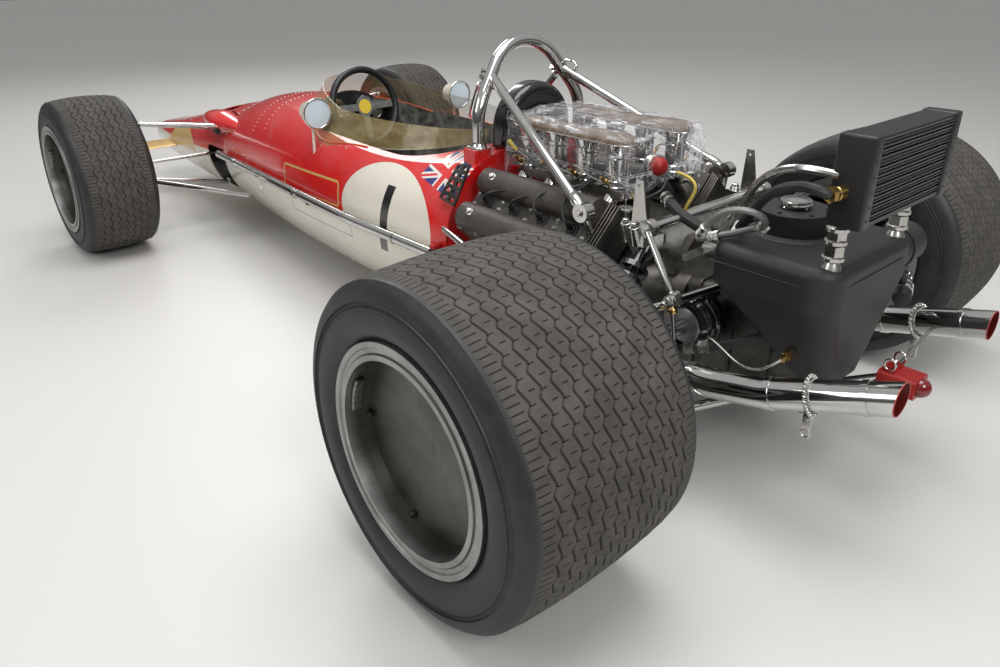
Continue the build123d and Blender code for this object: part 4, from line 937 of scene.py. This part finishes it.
fork_post = [(-0.04, 0.015), (0.0, 0.013), (0.006, 0.012), (0.008, 0.008)]
lever_nut = [(0, 0.012), (0.009, 0.012), (0.010, 0.009), (0.016, 0.0085), (0.017, 0.006)]
for label, side in flanks:
    out = Vector((0, side, 0))
    fork = [lathe(at(0.084, side * 0.236, 0.5563), out, band(-0.012, 0.012, 0.019, 0.021, 0.001), 28)]
    for station, across in ((0.159, 0.225), (0.125, 0.236)):
        fork.append(lathe(at(station, side * across, 0.545), (0, side * 0.3, 1), fork_post, 20))
    settle(joined(*fork), "beam_forks_" + label, "bright")
    bolts = route((0.159, 0.2275, 0.5530), (0.125, 0.2385, 0.5530), (0.084, 0.2485, 0.5563), side=side)
    settle(copies(hexagon_bolt(0.008, 0.008), bolts, [Z, Z, out]), "beam_bolts_" + label, "bright")
    lever_end = at(-0.030, side * 0.282, 0.436)
    eye = lathe(lever_end, Vector((-0.3, side * 0.9, -0.1)), [(-0.018, 0.0105), (0.018, 0.0105)], 20)
    collar = lathe(lever_end, out, [(-0.012, 0.015), (0.012, 0.015)], 24)
    settle(joined(eye, collar), "lever_eyes_" + label, "bright")
    settle(lathe(lever_end + out * 0.012, out, lever_nut, 6), "lever_nuts_" + label, "bright")
    link_top, link_foot = route((-0.028, 0.284, 0.440), (-0.105, 0.352, 0.222), side=side)
    profile = band(0, 0.014, 0.0085, 0.0105, 0.004)
    ring = lathe(link_top.lerp(link_foot, 0.10), link_foot - link_top, profile, 24)
    settle(ring, "link_ring_" + label, "brass")

# Couplings of the drive shafts, ribbed and banded

coupling = ((0.124, 0.056), (0.130, 0.0645), (0.140, 0.0665), (0.146, 0.0630), (0.152, 0.0665),
            (0.162, 0.0665), (0.168, 0.0630), (0.174, 0.0660), (0.182, 0.0620), (0.188, 0.0500))
axle = at(0, 0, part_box("tyre_rear_left")[1][2] / 2)
for label, side in flanks:
    body = "wheel_rear_" + label
    ribs = [(side * across, reach) for across, reach in coupling]
    settle(lathe(axle, Y, ribs, 48), "shaft_coupling_" + label, "gloss", body)
    profile = band(side * 0.1465, side * 0.1515, 0.0655, 0.0680, side * 0.0005)
    settle(lathe(axle, Y, profile, 48), "coupling_band_" + label, "chrome", body)

# Roll hoop: clamps and feet of the stays, braces, base flanges, and the strap ring on the right

stay_socket = [(0, 0.0165), (0.018, 0.0165), (0.030, 0.0140), (0.040, 0.0138)]
stay_foot = [(0, 0.0138), (0.004, 0.0155), (0.030, 0.0155), (0.044, 0.0120)]
hoop_flange = [(0, 0.026), (0.003, 0.0255), (0.008, 0.0205), (0.018, 0.0186)]
hoop_foot, flange_height = (0.720, 0.203), 0.6282
flange_half = (0.024, 0.018)
stay_rows = ((0.7535, 0.139, 0.818), (0.232, 0.292, 0.572), (0.736, 0.138, 0.818))
clamps, flanges = [], []
for side in sides:
    grip, low_end, high_end = route(*stay_rows, side=side)
    along = Vector((0.021, -side * 0.074, 0.105)).normalized()
    for shift in (-0.012, 0.003):
        clamps.append(lathe(grip + along * shift, along, band(0, 0.009, 0.0185, 0.0205), 36))
    stay = (low_end - high_end).normalized()
    clamps.append(lathe(grip + stay * 0.010, stay, stay_socket, 28))
    clamps.append(lathe(low_end - stay * 0.062, stay, stay_foot, 28))
    flanges.append(lathe(at(hoop_foot[0], side * hoop_foot[1], flange_height), Z, hoop_flange, 40))
settle(joined(*clamps), "hoop_clamps", "chrome")
settle(joined(*flanges), "hoop_flanges", "chrome")
places = []
for side in sides:
    for along, across in ((1, 1), (-1, 1), (1, -1), (-1, -1)):
        station = hoop_foot[0] + along * flange_half[0]
        places.append(at(station, side * (hoop_foot[1] + across * flange_half[1]), flange_height + 0.0003))
settle(copies(hexagon_bolt(0.005, 0.006), places), "flange_bolts", "bright")
strap_ring = ellipse(at(0.715, -0.150, 0.822), X * 0.030, Z * 0.018, 16)
settle(tube(strap_ring, 0.0042, closed=True), "strap_ring", "chrome")
places = [at(0.232, side * 0.307, 0.572) for side in sides]
axes = [Vector((0, side, 0)) for side in sides]
settle(copies(hexagon_bolt(0.0075, 0.007), places, axes), "stay_bolts", "bright")
for label, side in flanks:
    brace = route((0.770, 0.15, 0.792), (0.815, 0.135, 0.735), (0.845, 0.122, 0.690), side=side)
    settle(tube(brace, 0.011), "hoop_brace_" + label, "chrome")

# Tank: weld seam, collar, lid, drain, hose and its unions

tank_top = 0.552
seam_height = 0.512
filler = -0.132
collar_flange = [(0, 0.094), (0.005, 0.094), (0.009, 0.088), (0.011, 0.080), (0.012, 0.079)]
collar_edge = [(0, 0.079), (0.0012, 0.0802), (0.003, 0.0790), (0.0035, 0.0760)]
filler_lid = [(0, 0.026), (0.003, 0.0265), (0.006, 0.0235), (0.010, 0.0235), (0.0105, 0.0330),
              (0.012, 0.0348), (0.019, 0.0350), (0.0215, 0.0335), (0.0222, 0.0300), (0.0215, 0.0270),
              (0.0235, 0.0200), (0.0250, 0.0100), (0.0254, 0.0030)]
hose_union = [(-0.015, 0.0135), (-0.014, 0.0165), (-0.004, 0.0165), (-0.003, 0.0145), (0.003, 0.0145),
              (0.004, 0.0175), (0.012, 0.0175), (0.013, 0.0135)]
seam = [(station, across, seam_height) for station, across in (
    (-0.052, 0.1965), (-0.12, 0.1968), (-0.24, 0.1966), (-0.300, 0.192), (-0.326, 0.166), (-0.3305, 0.10),
    (-0.3306, 0.0), (-0.3306, -0.12))]
settle(tube(route(*seam), 0.0017, roundness=2), "tank_seam", "tank")
settle(lathe(at(filler, 0, tank_top - 0.006), Z, collar_flange, 56), "collar_flange", "tank")
settle(lathe(at(filler, 0, tank_top + 0.0515), Z, collar_edge, 56), "collar_edge", "tank")
lid = lathe(at(filler, 0, tank_top + 0.052), Z, filler_lid, 56)
settle(lid, "filler_lid", "chrome")
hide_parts("filler_cap")
turns = (0.5, 1.55, 2.6, 3.65, 4.7, 5.75)
places = [at(filler + 0.066 * cos(turn), 0.066 * sin(turn), tank_top + 0.0550) for turn in turns]
settle(copies(hexagon_bolt(0.0035, 0.004), places), "collar_screws", "tank")
drain_way = (0.15, 1, -0.35)
drain_boss = [(0, 0.016), (0.010, 0.014), (0.012, 0.0095), (0.022, 0.0095)]
settle(lathe(at(-0.252, 0.138, 0.352), drain_way, drain_boss, 24), "drain_boss", "tank")
hexagon = lathe(at(-0.250, 0.160, 0.344), drain_way, [(0, 0.0105), (0.012, 0.0105)], 6)
stub = lathe(at(-0.248, 0.172, 0.340), drain_way, [(0, 0.0075), (0.012, 0.0075), (0.014, 0.0055)], 20)
settle(joined(hexagon, stub), "drain_fitting", "brass")
hose("drain_pipe", "bright", 0.0028, (-0.246, 0.184, 0.336), (-0.236, 0.205, 0.326), (-0.210, 0.212, 0.306),
     (-0.16, 0.204, 0.296), (-0.09, 0.186, 0.318), (-0.03, 0.17, 0.322), (0.03, 0.16, 0.30))
hose("tank_hose", "rubber", 0.0115, (0.07, 0.205, 0.245), (0.02, 0.200, 0.262), (-0.03, 0.190, 0.284),
     (-0.08, 0.180, 0.303), (-0.13, 0.165, 0.326), (-0.185, 0.128, 0.350))
places = route((-0.028, 0.1905, 0.283), (-0.062, 0.184, 0.2965))
unions = [lathe(place, (-1, -0.2, 0.40), hose_union, 6) for place in places]
settle(joined(*unions), "hose_unions", "bright")

# Breather at the tank's right, with its bands and its pipe

breather, breather_way = at(-0.318, -0.205, 0.402), (0.35, -0.9, 0.28)
barrel = [(-0.030, 0.0120), (-0.027, 0.0190), (-0.020, 0.0205), (0.035, 0.0205), (0.037, 0.018)]
settle(lathe(breather, breather_way, barrel, 32), "breather", "rubber")
loop = ellipse(breather + Vector((0.012, -0.048, 0.010)), X * 0.010, Vector((0, 0.006, 0.026)), 10)
bands = [lathe(breather, breather_way, band(0.0, 0.0105, 0.0205, 0.0222), 36),
         lathe(breather, breather_way, band(0.018, 0.0265, 0.0205, 0.0225), 36),
         tube(loop, 0.003, closed=True)]
settle(joined(*bands), "breather_bands", "chrome")
pipe = [breather + Vector((0.004, -0.012, 0.016))] + route((-0.300, -0.225, 0.440), (-0.285, -0.232, 0.462))
settle(tube(pipe, 0.009), "breather_pipe", "rubber")

# Oil cooler: end tanks with screws, fins, unions and hoses

low, high, middle = box("oil_cooler")
half_depth, height = (high.x - low.x) / 2, high.z - low.z
end_across = high.y - 0.0165
fin_rows, fin_margin, fin_tilt = 24, 0.007, radians(24)
screw_rows, screw_pitch, screw_margin = 6, 0.0275, 0.016
screws, axes = [], []
for label, side in flanks:
    size = (2 * half_depth + 0.008, 0.034, height + 0.006)
    tank = block(size, (middle.x, side * end_across, middle.z), rounding=0.005, segments=3)
    settle(tank, "cooler_end_" + label, "satin")
    for row in range(screw_rows):
        for face in (-1, 1):
            x = middle.x + face * (half_depth + 0.004)
            screws.append(Vector((x, side * end_across, low.z + screw_margin + row * screw_pitch)))
            axes.append(Vector((face, 0, 0)))
settle(copies(dome(0.0032, 0.0025), screws, axes), "cooler_screws", "satin")
fins = []
for face in (-1, 1):
    size = (0.012, 2 * (high.y - 0.036), 0.0016)
    fin = block(size, turn=(0, face * fin_tilt, 0), rounding=0.0005, segments=1)
    choose(fin)
    bpy.ops.object.transform_apply(location=True, rotation=True, scale=True)
    outer, rise = middle.x + face * (half_depth - 0.003), (height - 2 * fin_margin) / (fin_rows - 1)
    fins.append(copies(fin, [(outer, 0, low.z + fin_margin + row * rise) for row in range(fin_rows)]))
settle(joined(*fins), "cooler_fins", "gloss")
union_foot = [(0, 0.020), (0.006, 0.018), (0.016, 0.0135)]
union_station, union_across = -0.297, 0.146
rings = []
for side in sides:
    for base in (0.566, 0.600, 0.626):
        place = at(union_station, side * union_across, base)
        rings.append(lathe(place, Z, band(0, 0.011, 0.0195, 0.0225, 0.002), 12))
    rings.append(lathe(at(union_station, side * union_across, 0.5485), Z, union_foot, 28))
settle(joined(*rings), "union_rings", "bright")
side_union, union_way = at(-0.312, 0.199, 0.716), (0.30, 1, -0.05)
neck = lathe(side_union, union_way, [(-0.008, 0.014), (0.008, 0.014), (0.010, 0.0125), (0.018, 0.0125)], 28)
hexagon_place = side_union + Vector((0.005, 0.017, 0))
hexagon = lathe(hexagon_place, union_way, [(0, 0.0165), (0.010, 0.0165), (0.011, 0.013)], 6)
settle(joined(neck, hexagon), "cooler_side_union", "brass")
hose("cooler_hose", "rubber", 0.0105, (-0.304, 0.225, 0.716), (-0.296, 0.238, 0.722), (-0.262, 0.240, 0.727),
     (-0.220, 0.222, 0.712), (-0.18, 0.20, 0.690), (-0.14, 0.17, 0.655), (-0.10, 0.13, 0.61),
     (-0.06, 0.10, 0.565))
hose("vent_pipe", "bright", 0.0085, (-0.300, 0.19, 0.745), (-0.25, 0.205, 0.752), (-0.19, 0.19, 0.738),
     (-0.13, 0.16, 0.70), (-0.08, 0.12, 0.645), (-0.03, 0.09, 0.575))
hose("braided_hose", "braid", 0.0075, (-0.045, 0.225, 0.575), (-0.075, 0.232, 0.622), (-0.125, 0.228, 0.650),
     (-0.165, 0.200, 0.640), (-0.160, 0.165, 0.605), (-0.115, 0.150, 0.585), (-0.06, 0.16, 0.560),
     (0.0, 0.17, 0.54))
hose_end = [(-0.014, 0.0098), (-0.013, 0.0118), (-0.003, 0.0118), (-0.001, 0.0102), (0.004, 0.0102),
            (0.005, 0.0122), (0.012, 0.0122), (0.013, 0.0095)]
ends = [
    lathe(at(-0.050, 0.2265, 0.583), (-0.5, 0.1, 0.8), hose_end, 8),
    lathe(at(-0.145, 0.156, 0.596), (-0.8, -0.2, -0.5), hose_end, 8),
    lathe(at(-0.040, 0.166, 0.555), (1, 0.1, -0.35), hose_end, 8),
]
settle(joined(*ends), "braided_hose_ends", "bright")

# Tailpipes: spring clips, hangers and joint rings

clip_share = 0.30
coil_turns, coil_steps = 52, 6
coil_reach, wire_reach = 0.0388, 0.0038
for label, side in flanks:
    start, end = (Vector((place.x, side * place.y, place.z)) for place in (pipe_bend, pipe_end))
    axis = (end - start).normalized()
    middle = start.lerp(end, clip_share)
    first = axis.cross(Z).normalized()
    second = axis.cross(first)
    coil = []
    for step in range(coil_turns * coil_steps):
        turn, wind = step / (coil_turns * coil_steps) * 2 * pi, step / coil_steps * 2 * pi
        out = first * cos(turn) + second * sin(turn)
        coil.append(middle + out * (coil_reach + wire_reach * cos(wind)) + axis * wire_reach * sin(wind))
    settle(tube(coil, 0.0013, closed=True, roundness=1), "pipe_clip_" + label, "bright")
    hanger = block((0.020, 0.004, 0.046), middle - Z * 0.060)
    eye = tube(ellipse(middle - Z * 0.088, X * 0.009, Z * 0.009, 10), 0.0025, closed=True)
    settle(joined(hanger, eye), "pipe_hanger_" + label, "bright")
    profile = band(0, 0.0136, 0.0332, 0.0352, 0.0006)
    grips = [lathe(start.lerp(end, share), axis, profile, 40) for share in (0.02, 0.60)]
    profile = band(0, 0.011, 0.0350, 0.0400, 0.001)
    grips.append(lathe(at(0.036, side * 0.289, 0.262), (-1, 0, 0.03), profile, 40))
    settle(joined(*grips), "pipe_bands_" + label, "chrome")
places = [pipe_bend.lerp(pipe_end, clip_share) + Vector((0, side * 0.002, -0.052)) for side in sides]
settle(copies(hexagon_bolt(0.0045, 0.006), places, [Y, -Y]), "clip_bolts", "bright")

# Tail lamp: lens, hooks, screws and lead

low, high, _ = box("tail_block")
lamp_height = 0.292
tail_lens = [(0, 0.0215), (0.006, 0.0215), (0.013, 0.0190), (0.019, 0.0140), (0.023, 0.0080),
             (0.0245, 0.0020)]
lens_place = Vector((low.x + 0.002, 0.0, lamp_height))
settle(lathe(lens_place, (-1, 0, 0), tail_lens, 36), "tail_lens", "red_lens")
hooks = []
for side in sides:
    outline = ellipse(Vector((high.x - 0.020, side * 0.024, 0.330)), X * 0.012, Z * 0.014, 8)
    hooks.append(tube(outline, 0.0026, closed=True))
settle(joined(*hooks), "lamp_hooks", "chrome")
places = [Vector((low.x + 0.028, 0.032, lamp_height)), Vector((low.x + 0.060, 0.032, 0.284))]
settle(copies(hexagon_bolt(0.004, 0.004), places, Y), "lamp_screws", "bright")
lead_rows = ((-0.004, 0.012, 0.285), (0.03, 0.018, 0.262), (0.075, 0.04, 0.24), (0.13, 0.05, 0.235))
lead = [Vector((high.x + ahead, across, up)) for ahead, across, up in lead_rows]
settle(tube(lead, 0.0032), "lamp_lead", "rubber")

# Nose and hull: fairings and seals of the rockers, and rivets along the hull's edges

fairing_middle = (2.50, 0.208, 0.450)
fairing_ahead, fairing_behind = 0.20, 0.335
fairing_half_width, fairing_half_height, fairing_lean = 0.066, 0.050, 0.004
rocker_seal = [(0, 0.040), (0.004, 0.039), (0.010, 0.032), (0.012, 0.026)]
for label, side in flanks:
    bpy.ops.object.select_all(action="DESELECT")
    bpy.ops.mesh.primitive_uv_sphere_add(segments=40, ring_count=24, radius=1)
    fairing = bpy.context.object
    for vertex in fairing.data.vertices:
        v = vertex.co
        taper = max(1 + v.x, 0) ** 0.5 * (1 + v.x * 0.45) if v.x < 0 else 1
        ahead = v.x * (fairing_ahead if v.x > 0 else fairing_behind)
        across = fairing_middle[1] + v.y * fairing_half_width * taper
        height = fairing_middle[2] + v.z * fairing_half_height * taper + v.x * fairing_lean
        vertex.co = at(fairing_middle[0] + ahead, side * across, height)
    settle(fairing, "rocker_fairing_" + label, "hull", crease=80)
    seal = lathe(at(2.49, side * 0.252, 0.442), (0, side, 0.24), rocker_seal, 36)
    settle(seal, "rocker_seal_" + label, "rubber")


def rivet_row(name, rows, finish="hull", size=0.0028, node="monocoque"):
    """Rivets where lines drawn to the middle of the hull meet a CAD node."""
    places, axes = zip(*(surface_point(node, start, aim) for start, aim in rows))
    settle(copies(dome(size, size * 0.6), places, axes), name, finish)


def ring_of_rivets(station, first, last, count, centre=hull_middle, reach=0.6):
    """Lines to the hull's middle at a station, from one angle to another on both sides."""
    rows = []
    for step in range(count):
        angle = radians(first + (last - first) * step / (count - 1))
        for side in sides:
            start = at(station, side * reach * sin(angle), centre + reach * cos(angle))
            rows.append((start, at(station, 0, centre)))
    return rows


scuttle = ring_of_rivets(2.10, 0, 60, 18) + ring_of_rivets(1.99, 0, 56, 16)
nose = ring_of_rivets(2.452, 0, 150, 24) + ring_of_rivets(2.99, 0, 70, 14, 0.28)
sill = [(at(station, side * 0.6, 0.195), at(station, 0, 0.235))
        for station in (0.76 + step * 0.0285 for step in range(58)) for side in sides]
rivet_row("rear_edge_rivets", ring_of_rivets(0.708, 28, 150, 26))
rivet_row("bulkhead_rivets", ring_of_rivets(2.428, 0, 150, 24), "bright")
rivet_row("scuttle_rivets", scuttle, "bright")
rivet_row("nose_rivets", nose, "bright", node="nose_cone")
rivet_row("sill_rivets", sill, size=0.0022)

# Screws of the windscreen's foot and a thin edge along it

# Its outline is an ellipse that shrinks upward: middle and half axes at the foot and one rise above it
screen_steps, screen_sweep = 44, 236
screen_foot, screen_rise = 0.50, 0.26
foot_middle, foot_half_length, foot_half_width = 1.370, 0.585, 0.318
top_middle, top_half_length, top_half_width = 1.335, 0.430, 0.178
edge, screws, axes = [], [], []
for step in range(screen_steps + 1):
    angle = radians(screen_sweep * (step / screen_steps - 0.5))
    height = 0.58
    for _ in range(4):
        share = (height - screen_foot) / screen_rise
        middle = foot_middle + (top_middle - foot_middle) * share
        half_length = foot_half_length + (top_half_length - foot_half_length) * share
        half_width = foot_half_width + (top_half_width - foot_half_width) * share
        start = at(middle + half_length * cos(angle), half_width * sin(angle), 0.90)
        place, normal = surface_point("monocoque", start, start - Z)
        height = place.z
    if height < screen_foot:
        continue
    edge.append(place + normal * 0.002)
    if step % 3 == 1:
        outward = Vector((cos(angle) * foot_half_width, sin(angle) * foot_half_length, 0)).normalized()
        start = start + outward * 0.011
        foot, normal = surface_point("monocoque", start, start - Z)
        screws.append(foot)
        axes.append(normal)
settle(tube(edge, 0.0022, order=4), "screen_edge", "orange")
settle(copies(dome(0.0036, 0.0026), screws, axes), "screen_screws", "alloy")

# Cockpit: padded head rest with its piping, padded seat, and the gauges' rings and needles


def soft_copy(node, voxel, swell, rounds):
    """A padded piece grown from a CAD node's shape: remeshed, rounded off and filled out."""
    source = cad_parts[node]
    pad = source.copy()
    pad.data = source.data.copy()
    bpy.context.scene.collection.objects.link(pad)
    for key in [key for key in pad.keys() if key.startswith("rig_")]:
        del pad[key]
    choose(pad)
    steps = (
        ("remesh", "REMESH", {"mode": "VOXEL", "voxel_size": voxel}),
        ("smooth", "SMOOTH", {"iterations": rounds, "factor": 0.5}),
        ("swell", "DISPLACE", {"strength": swell, "mid_level": 0}),
    )
    for name, kind, settings in steps:
        modifier = pad.modifiers.new(name, kind)
        for setting, value in settings.items():
            setattr(modifier, setting, value)
        bpy.ops.object.modifier_apply(modifier=name)
    return pad


seam_reach, seam_width, seam_depth = 0.086, 0.007, 0.0035
rest_middle = rear_axle + 0.717
rest = soft_copy("headrest", 0.005, 0.003, 12)
for vertex in rest.data.vertices:
    place = vertex.co
    off_seam = abs(sqrt(place.y ** 2 + max(place.z - 0.60, 0) ** 2 * 0.46) - seam_reach)
    place.x += seam_depth * max(1 - off_seam / seam_width, 0) * (1 if place.x < rest_middle else -1)
settle(rest, "head_pad", "leather", crease=80)
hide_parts("headrest")
low, high, _ = box("headrest")
piping = []
for x in (low.x + 0.006, high.x - 0.006):
    turns = [radians(angle) for angle in (-90, -60, -30, 0, 30, 60, 90)]
    arch = [Vector((x, 0.122 * sin(turn), 0.655 + 0.130 * cos(turn))) for turn in turns]
    arch = [Vector((x, -0.125, 0.615)), *arch, Vector((x, 0.125, 0.615))]
    piping.append(tube(arch, 0.0028, order=4))
settle(joined(*piping), "head_pad_piping", "leather")

channel_pitch, channel_depth, channel_half = 0.062, 0.004, 0.16
seat = soft_copy("seat", 0.006, 0.0015, 6)
for vertex in seat.data.vertices:
    channel = abs((vertex.co.y / channel_pitch) % 1 - 0.5)
    vertex.co.z -= channel_depth * max(0, 1 - (0.5 - channel) / channel_half) ** 2
settle(seat, "seat_pad", "cloth", crease=80)
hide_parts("seat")

gauge_rows = ((-0.118, 0.556, 0.022), (-0.062, 0.590, 0.034), (0.062, 0.590, 0.034), (0.118, 0.556, 0.022))
needle_rows = ((-0.062, 0.590, 0.03), (0.062, 0.590, 0.03), (-0.118, 0.556, 0.02), (0.118, 0.556, 0.02))
gauge_ring = ((-0.004, 0.001), (0.0, 0.0035), (0.003, 0.003), (0.0035, -0.001), (0.0012, -0.002))
gauge_rings, needles = [], []
for across, height, radius in gauge_rows:
    profile = [(ahead, radius + wider) for ahead, wider in gauge_ring]
    gauge_rings.append(lathe(at(1.7485, across, height), (-1, 0, 0), profile, 40))
settle(joined(*gauge_rings), "gauge_rings", "bright")
for across, height, length in needle_rows:
    needle = route((1.7465, across, height), (1.7465, across + length * 0.5, height + length * 0.6))
    needles.append(tube(needle, 0.0009, roundness=1))
settle(joined(*needles), "gauge_needles", "cream_paint")

# Mirror glasses, slightly domed, in bright rings

mirror = [(-0.004, 0.0478), (0.0005, 0.0478), (0.0022, 0.040), (0.0034, 0.028), (0.0040, 0.014),
          (0.0042, 0.003)]
mirror_reach = 0.0500
for label, side in flanks:
    face = at(1.4462, side * 0.308, 0.640)
    settle(lathe(face, (-1, 0, 0), mirror, 56), "mirror_glass_" + label, "glass")
    ring = ellipse(face - X * 0.0015, Y * mirror_reach, Z * mirror_reach, 32)
    settle(tube(ring, 0.0030, closed=True), "mirror_ring_" + label, "chrome")

# Flank pipe: a dark clamp near its rear end with a red tab on it, and three chromed straps

grip_rows = ((0.716, 0.3725, 0.352), (0.905, 0.3776, 0.352), (1.55, 0.3645, 0.3495), (2.20, 0.310, 0.337))
for label, side in flanks:
    profile = band(0, 0.0126, 0.0165, 0.0185, 0.0006)
    clamp, *straps = [lathe(place, X, profile, 32) for place in route(*grip_rows, side=side)]
    settle(clamp, "pipe_clamp_" + label, "satin")
    settle(joined(*straps), "pipe_straps_" + label, "chrome")
    tab = block((0.020, 0.026, 0.012), at(0.716, side * 0.372, 0.376), rounding=0.002)
    settle(tab, "pipe_tab_" + label, "red_metal")

# Wheels: balance weights on the rims and screws in the dishes

weight_angles, weight_reach, weight_inset = (62, 67, 72, 77, 82), 0.1735, 0.020
weight_size = (0.018, 0.0145, 0.008)
screw_angles, screw_reach, screw_inset = (92, 164, 316), 0.172, 0.050


def spokes(angles):
    """Ways out from a wheel's middle, by their angles from the top towards the front."""
    return [Vector((sin(radians(angle)), 0, cos(radians(angle)))) for angle in angles]


for label, side in flanks:
    for end in ("rear", "front"):
        low, high, hub = box(f"rim_{end}_{label}")
        body = f"wheel_{end}_{label}"
        face = hub + Y * side * (high.y - low.y) / 2
        ways = spokes(weight_angles)
        places = [face - Y * side * weight_inset + way * weight_reach for way in ways]
        weights = copies(block(weight_size), places, ways)
        settle(weights, f"weights_{end}_{label}", "alloy", body)
        places = [face - Y * side * screw_inset + way * screw_reach for way in spokes(screw_angles)]
        screws = copies(hexagon_bolt(0.0055, 0.007), places, Vector((0, side, 0)))
        settle(screws, f"dish_screws_{end}_{label}", "dark_alloy", body)

# Studio

bpy.ops.object.select_all(action="DESELECT")
bpy.ops.mesh.primitive_plane_add(size=60, location=(0, 0, -0.002))
floor = bpy.context.object
floor.name = "studio_floor"
floor.data.materials.append(Finish("floor_paint", (0.62, 0.61, 0.59), 0.42).material)

world = bpy.context.scene.world or bpy.data.worlds.new("studio")
bpy.context.scene.world = world
world.use_nodes = True
tree = world.node_tree
tree.nodes.clear()
out = tree.nodes.new("ShaderNodeOutputWorld")
sky = tree.nodes.new("ShaderNodeBackground")
ramp = tree.nodes.new("ShaderNodeValToRGB")
way = tree.nodes.new("ShaderNodeTexCoord")
parts = tree.nodes.new("ShaderNodeSeparateXYZ")
tree.links.new(way.outputs["Generated"], parts.inputs[0])
tree.links.new(parts.outputs["Z"], ramp.inputs[0])
tree.links.new(ramp.outputs[0], sky.inputs[0])
tree.links.new(sky.outputs[0], out.inputs[0])
stops = ramp.color_ramp.elements
stops.remove(stops[1])
for place, shade in ((0.0, 0.13), (0.16, 0.16), (0.42, 0.55), (1.0, 0.70)):
    stop = stops[0] if place == 0 else stops.new(place)
    stop.color = (shade, shade, shade * 0.99, 1)
sky.inputs[1].default_value = 0.75

lamps = (
    # name, place, aim, size, power
    ("roof_lamp", (-1.2, 0.2, 4.6), (-0.6, 0, 0.3), 3.2, 150),
    ("rear_lamp", (-5.0, 1.4, 3.4), (-1.2, 0.3, 0.3), 1.8, 90),
    ("left_lamp", (0.6, 5.4, 3.8), (-0.2, 0, 0.3), 2.6, 70),
    ("front_lamp", (4.4, -1.6, 3.8), (0.6, 0, 0.3), 2.2, 90),
)
for name, place, aim, size, power in lamps:
    data = bpy.data.lights.new(name, "AREA")
    data.size = size
    data.energy = power
    lamp = bpy.data.objects.new(name, data)
    bpy.context.scene.collection.objects.link(lamp)
    lamp.location = place
    lamp.rotation_euler = (Vector(aim) - Vector(place)).to_track_quat("-Z", "Y").to_euler()

# Camera at the photograph's place: the picture's size, its focal length and its middle row are in pixels

picture_width, picture_height = 1000, 667
focal_length, middle_row = 757.173, 291.83
camera_yaw, camera_pitch, camera_roll = -0.721, 0.409, 0.0038
camera_data = bpy.data.cameras.new("camera")
camera = bpy.data.objects.new("camera", camera_data)
bpy.context.scene.collection.objects.link(camera)
bpy.context.scene.camera = camera
camera.location = at(-0.9109, 1.5576, 1.1047)
level = cos(camera_pitch)
forward = Vector((cos(camera_yaw) * level, sin(camera_yaw) * level, -sin(camera_pitch)))
upright = forward.to_track_quat("-Z", "Y").to_matrix()
camera.rotation_euler = (upright @ Matrix.Rotation(-camera_roll, 3, "Z")).to_euler()
camera_data.sensor_width = 36
camera_data.lens = focal_length / picture_width * camera_data.sensor_width
camera_data.shift_y = (middle_row - picture_height / 2) / picture_width
bpy.context.scene.view_settings.view_transform = "Standard"
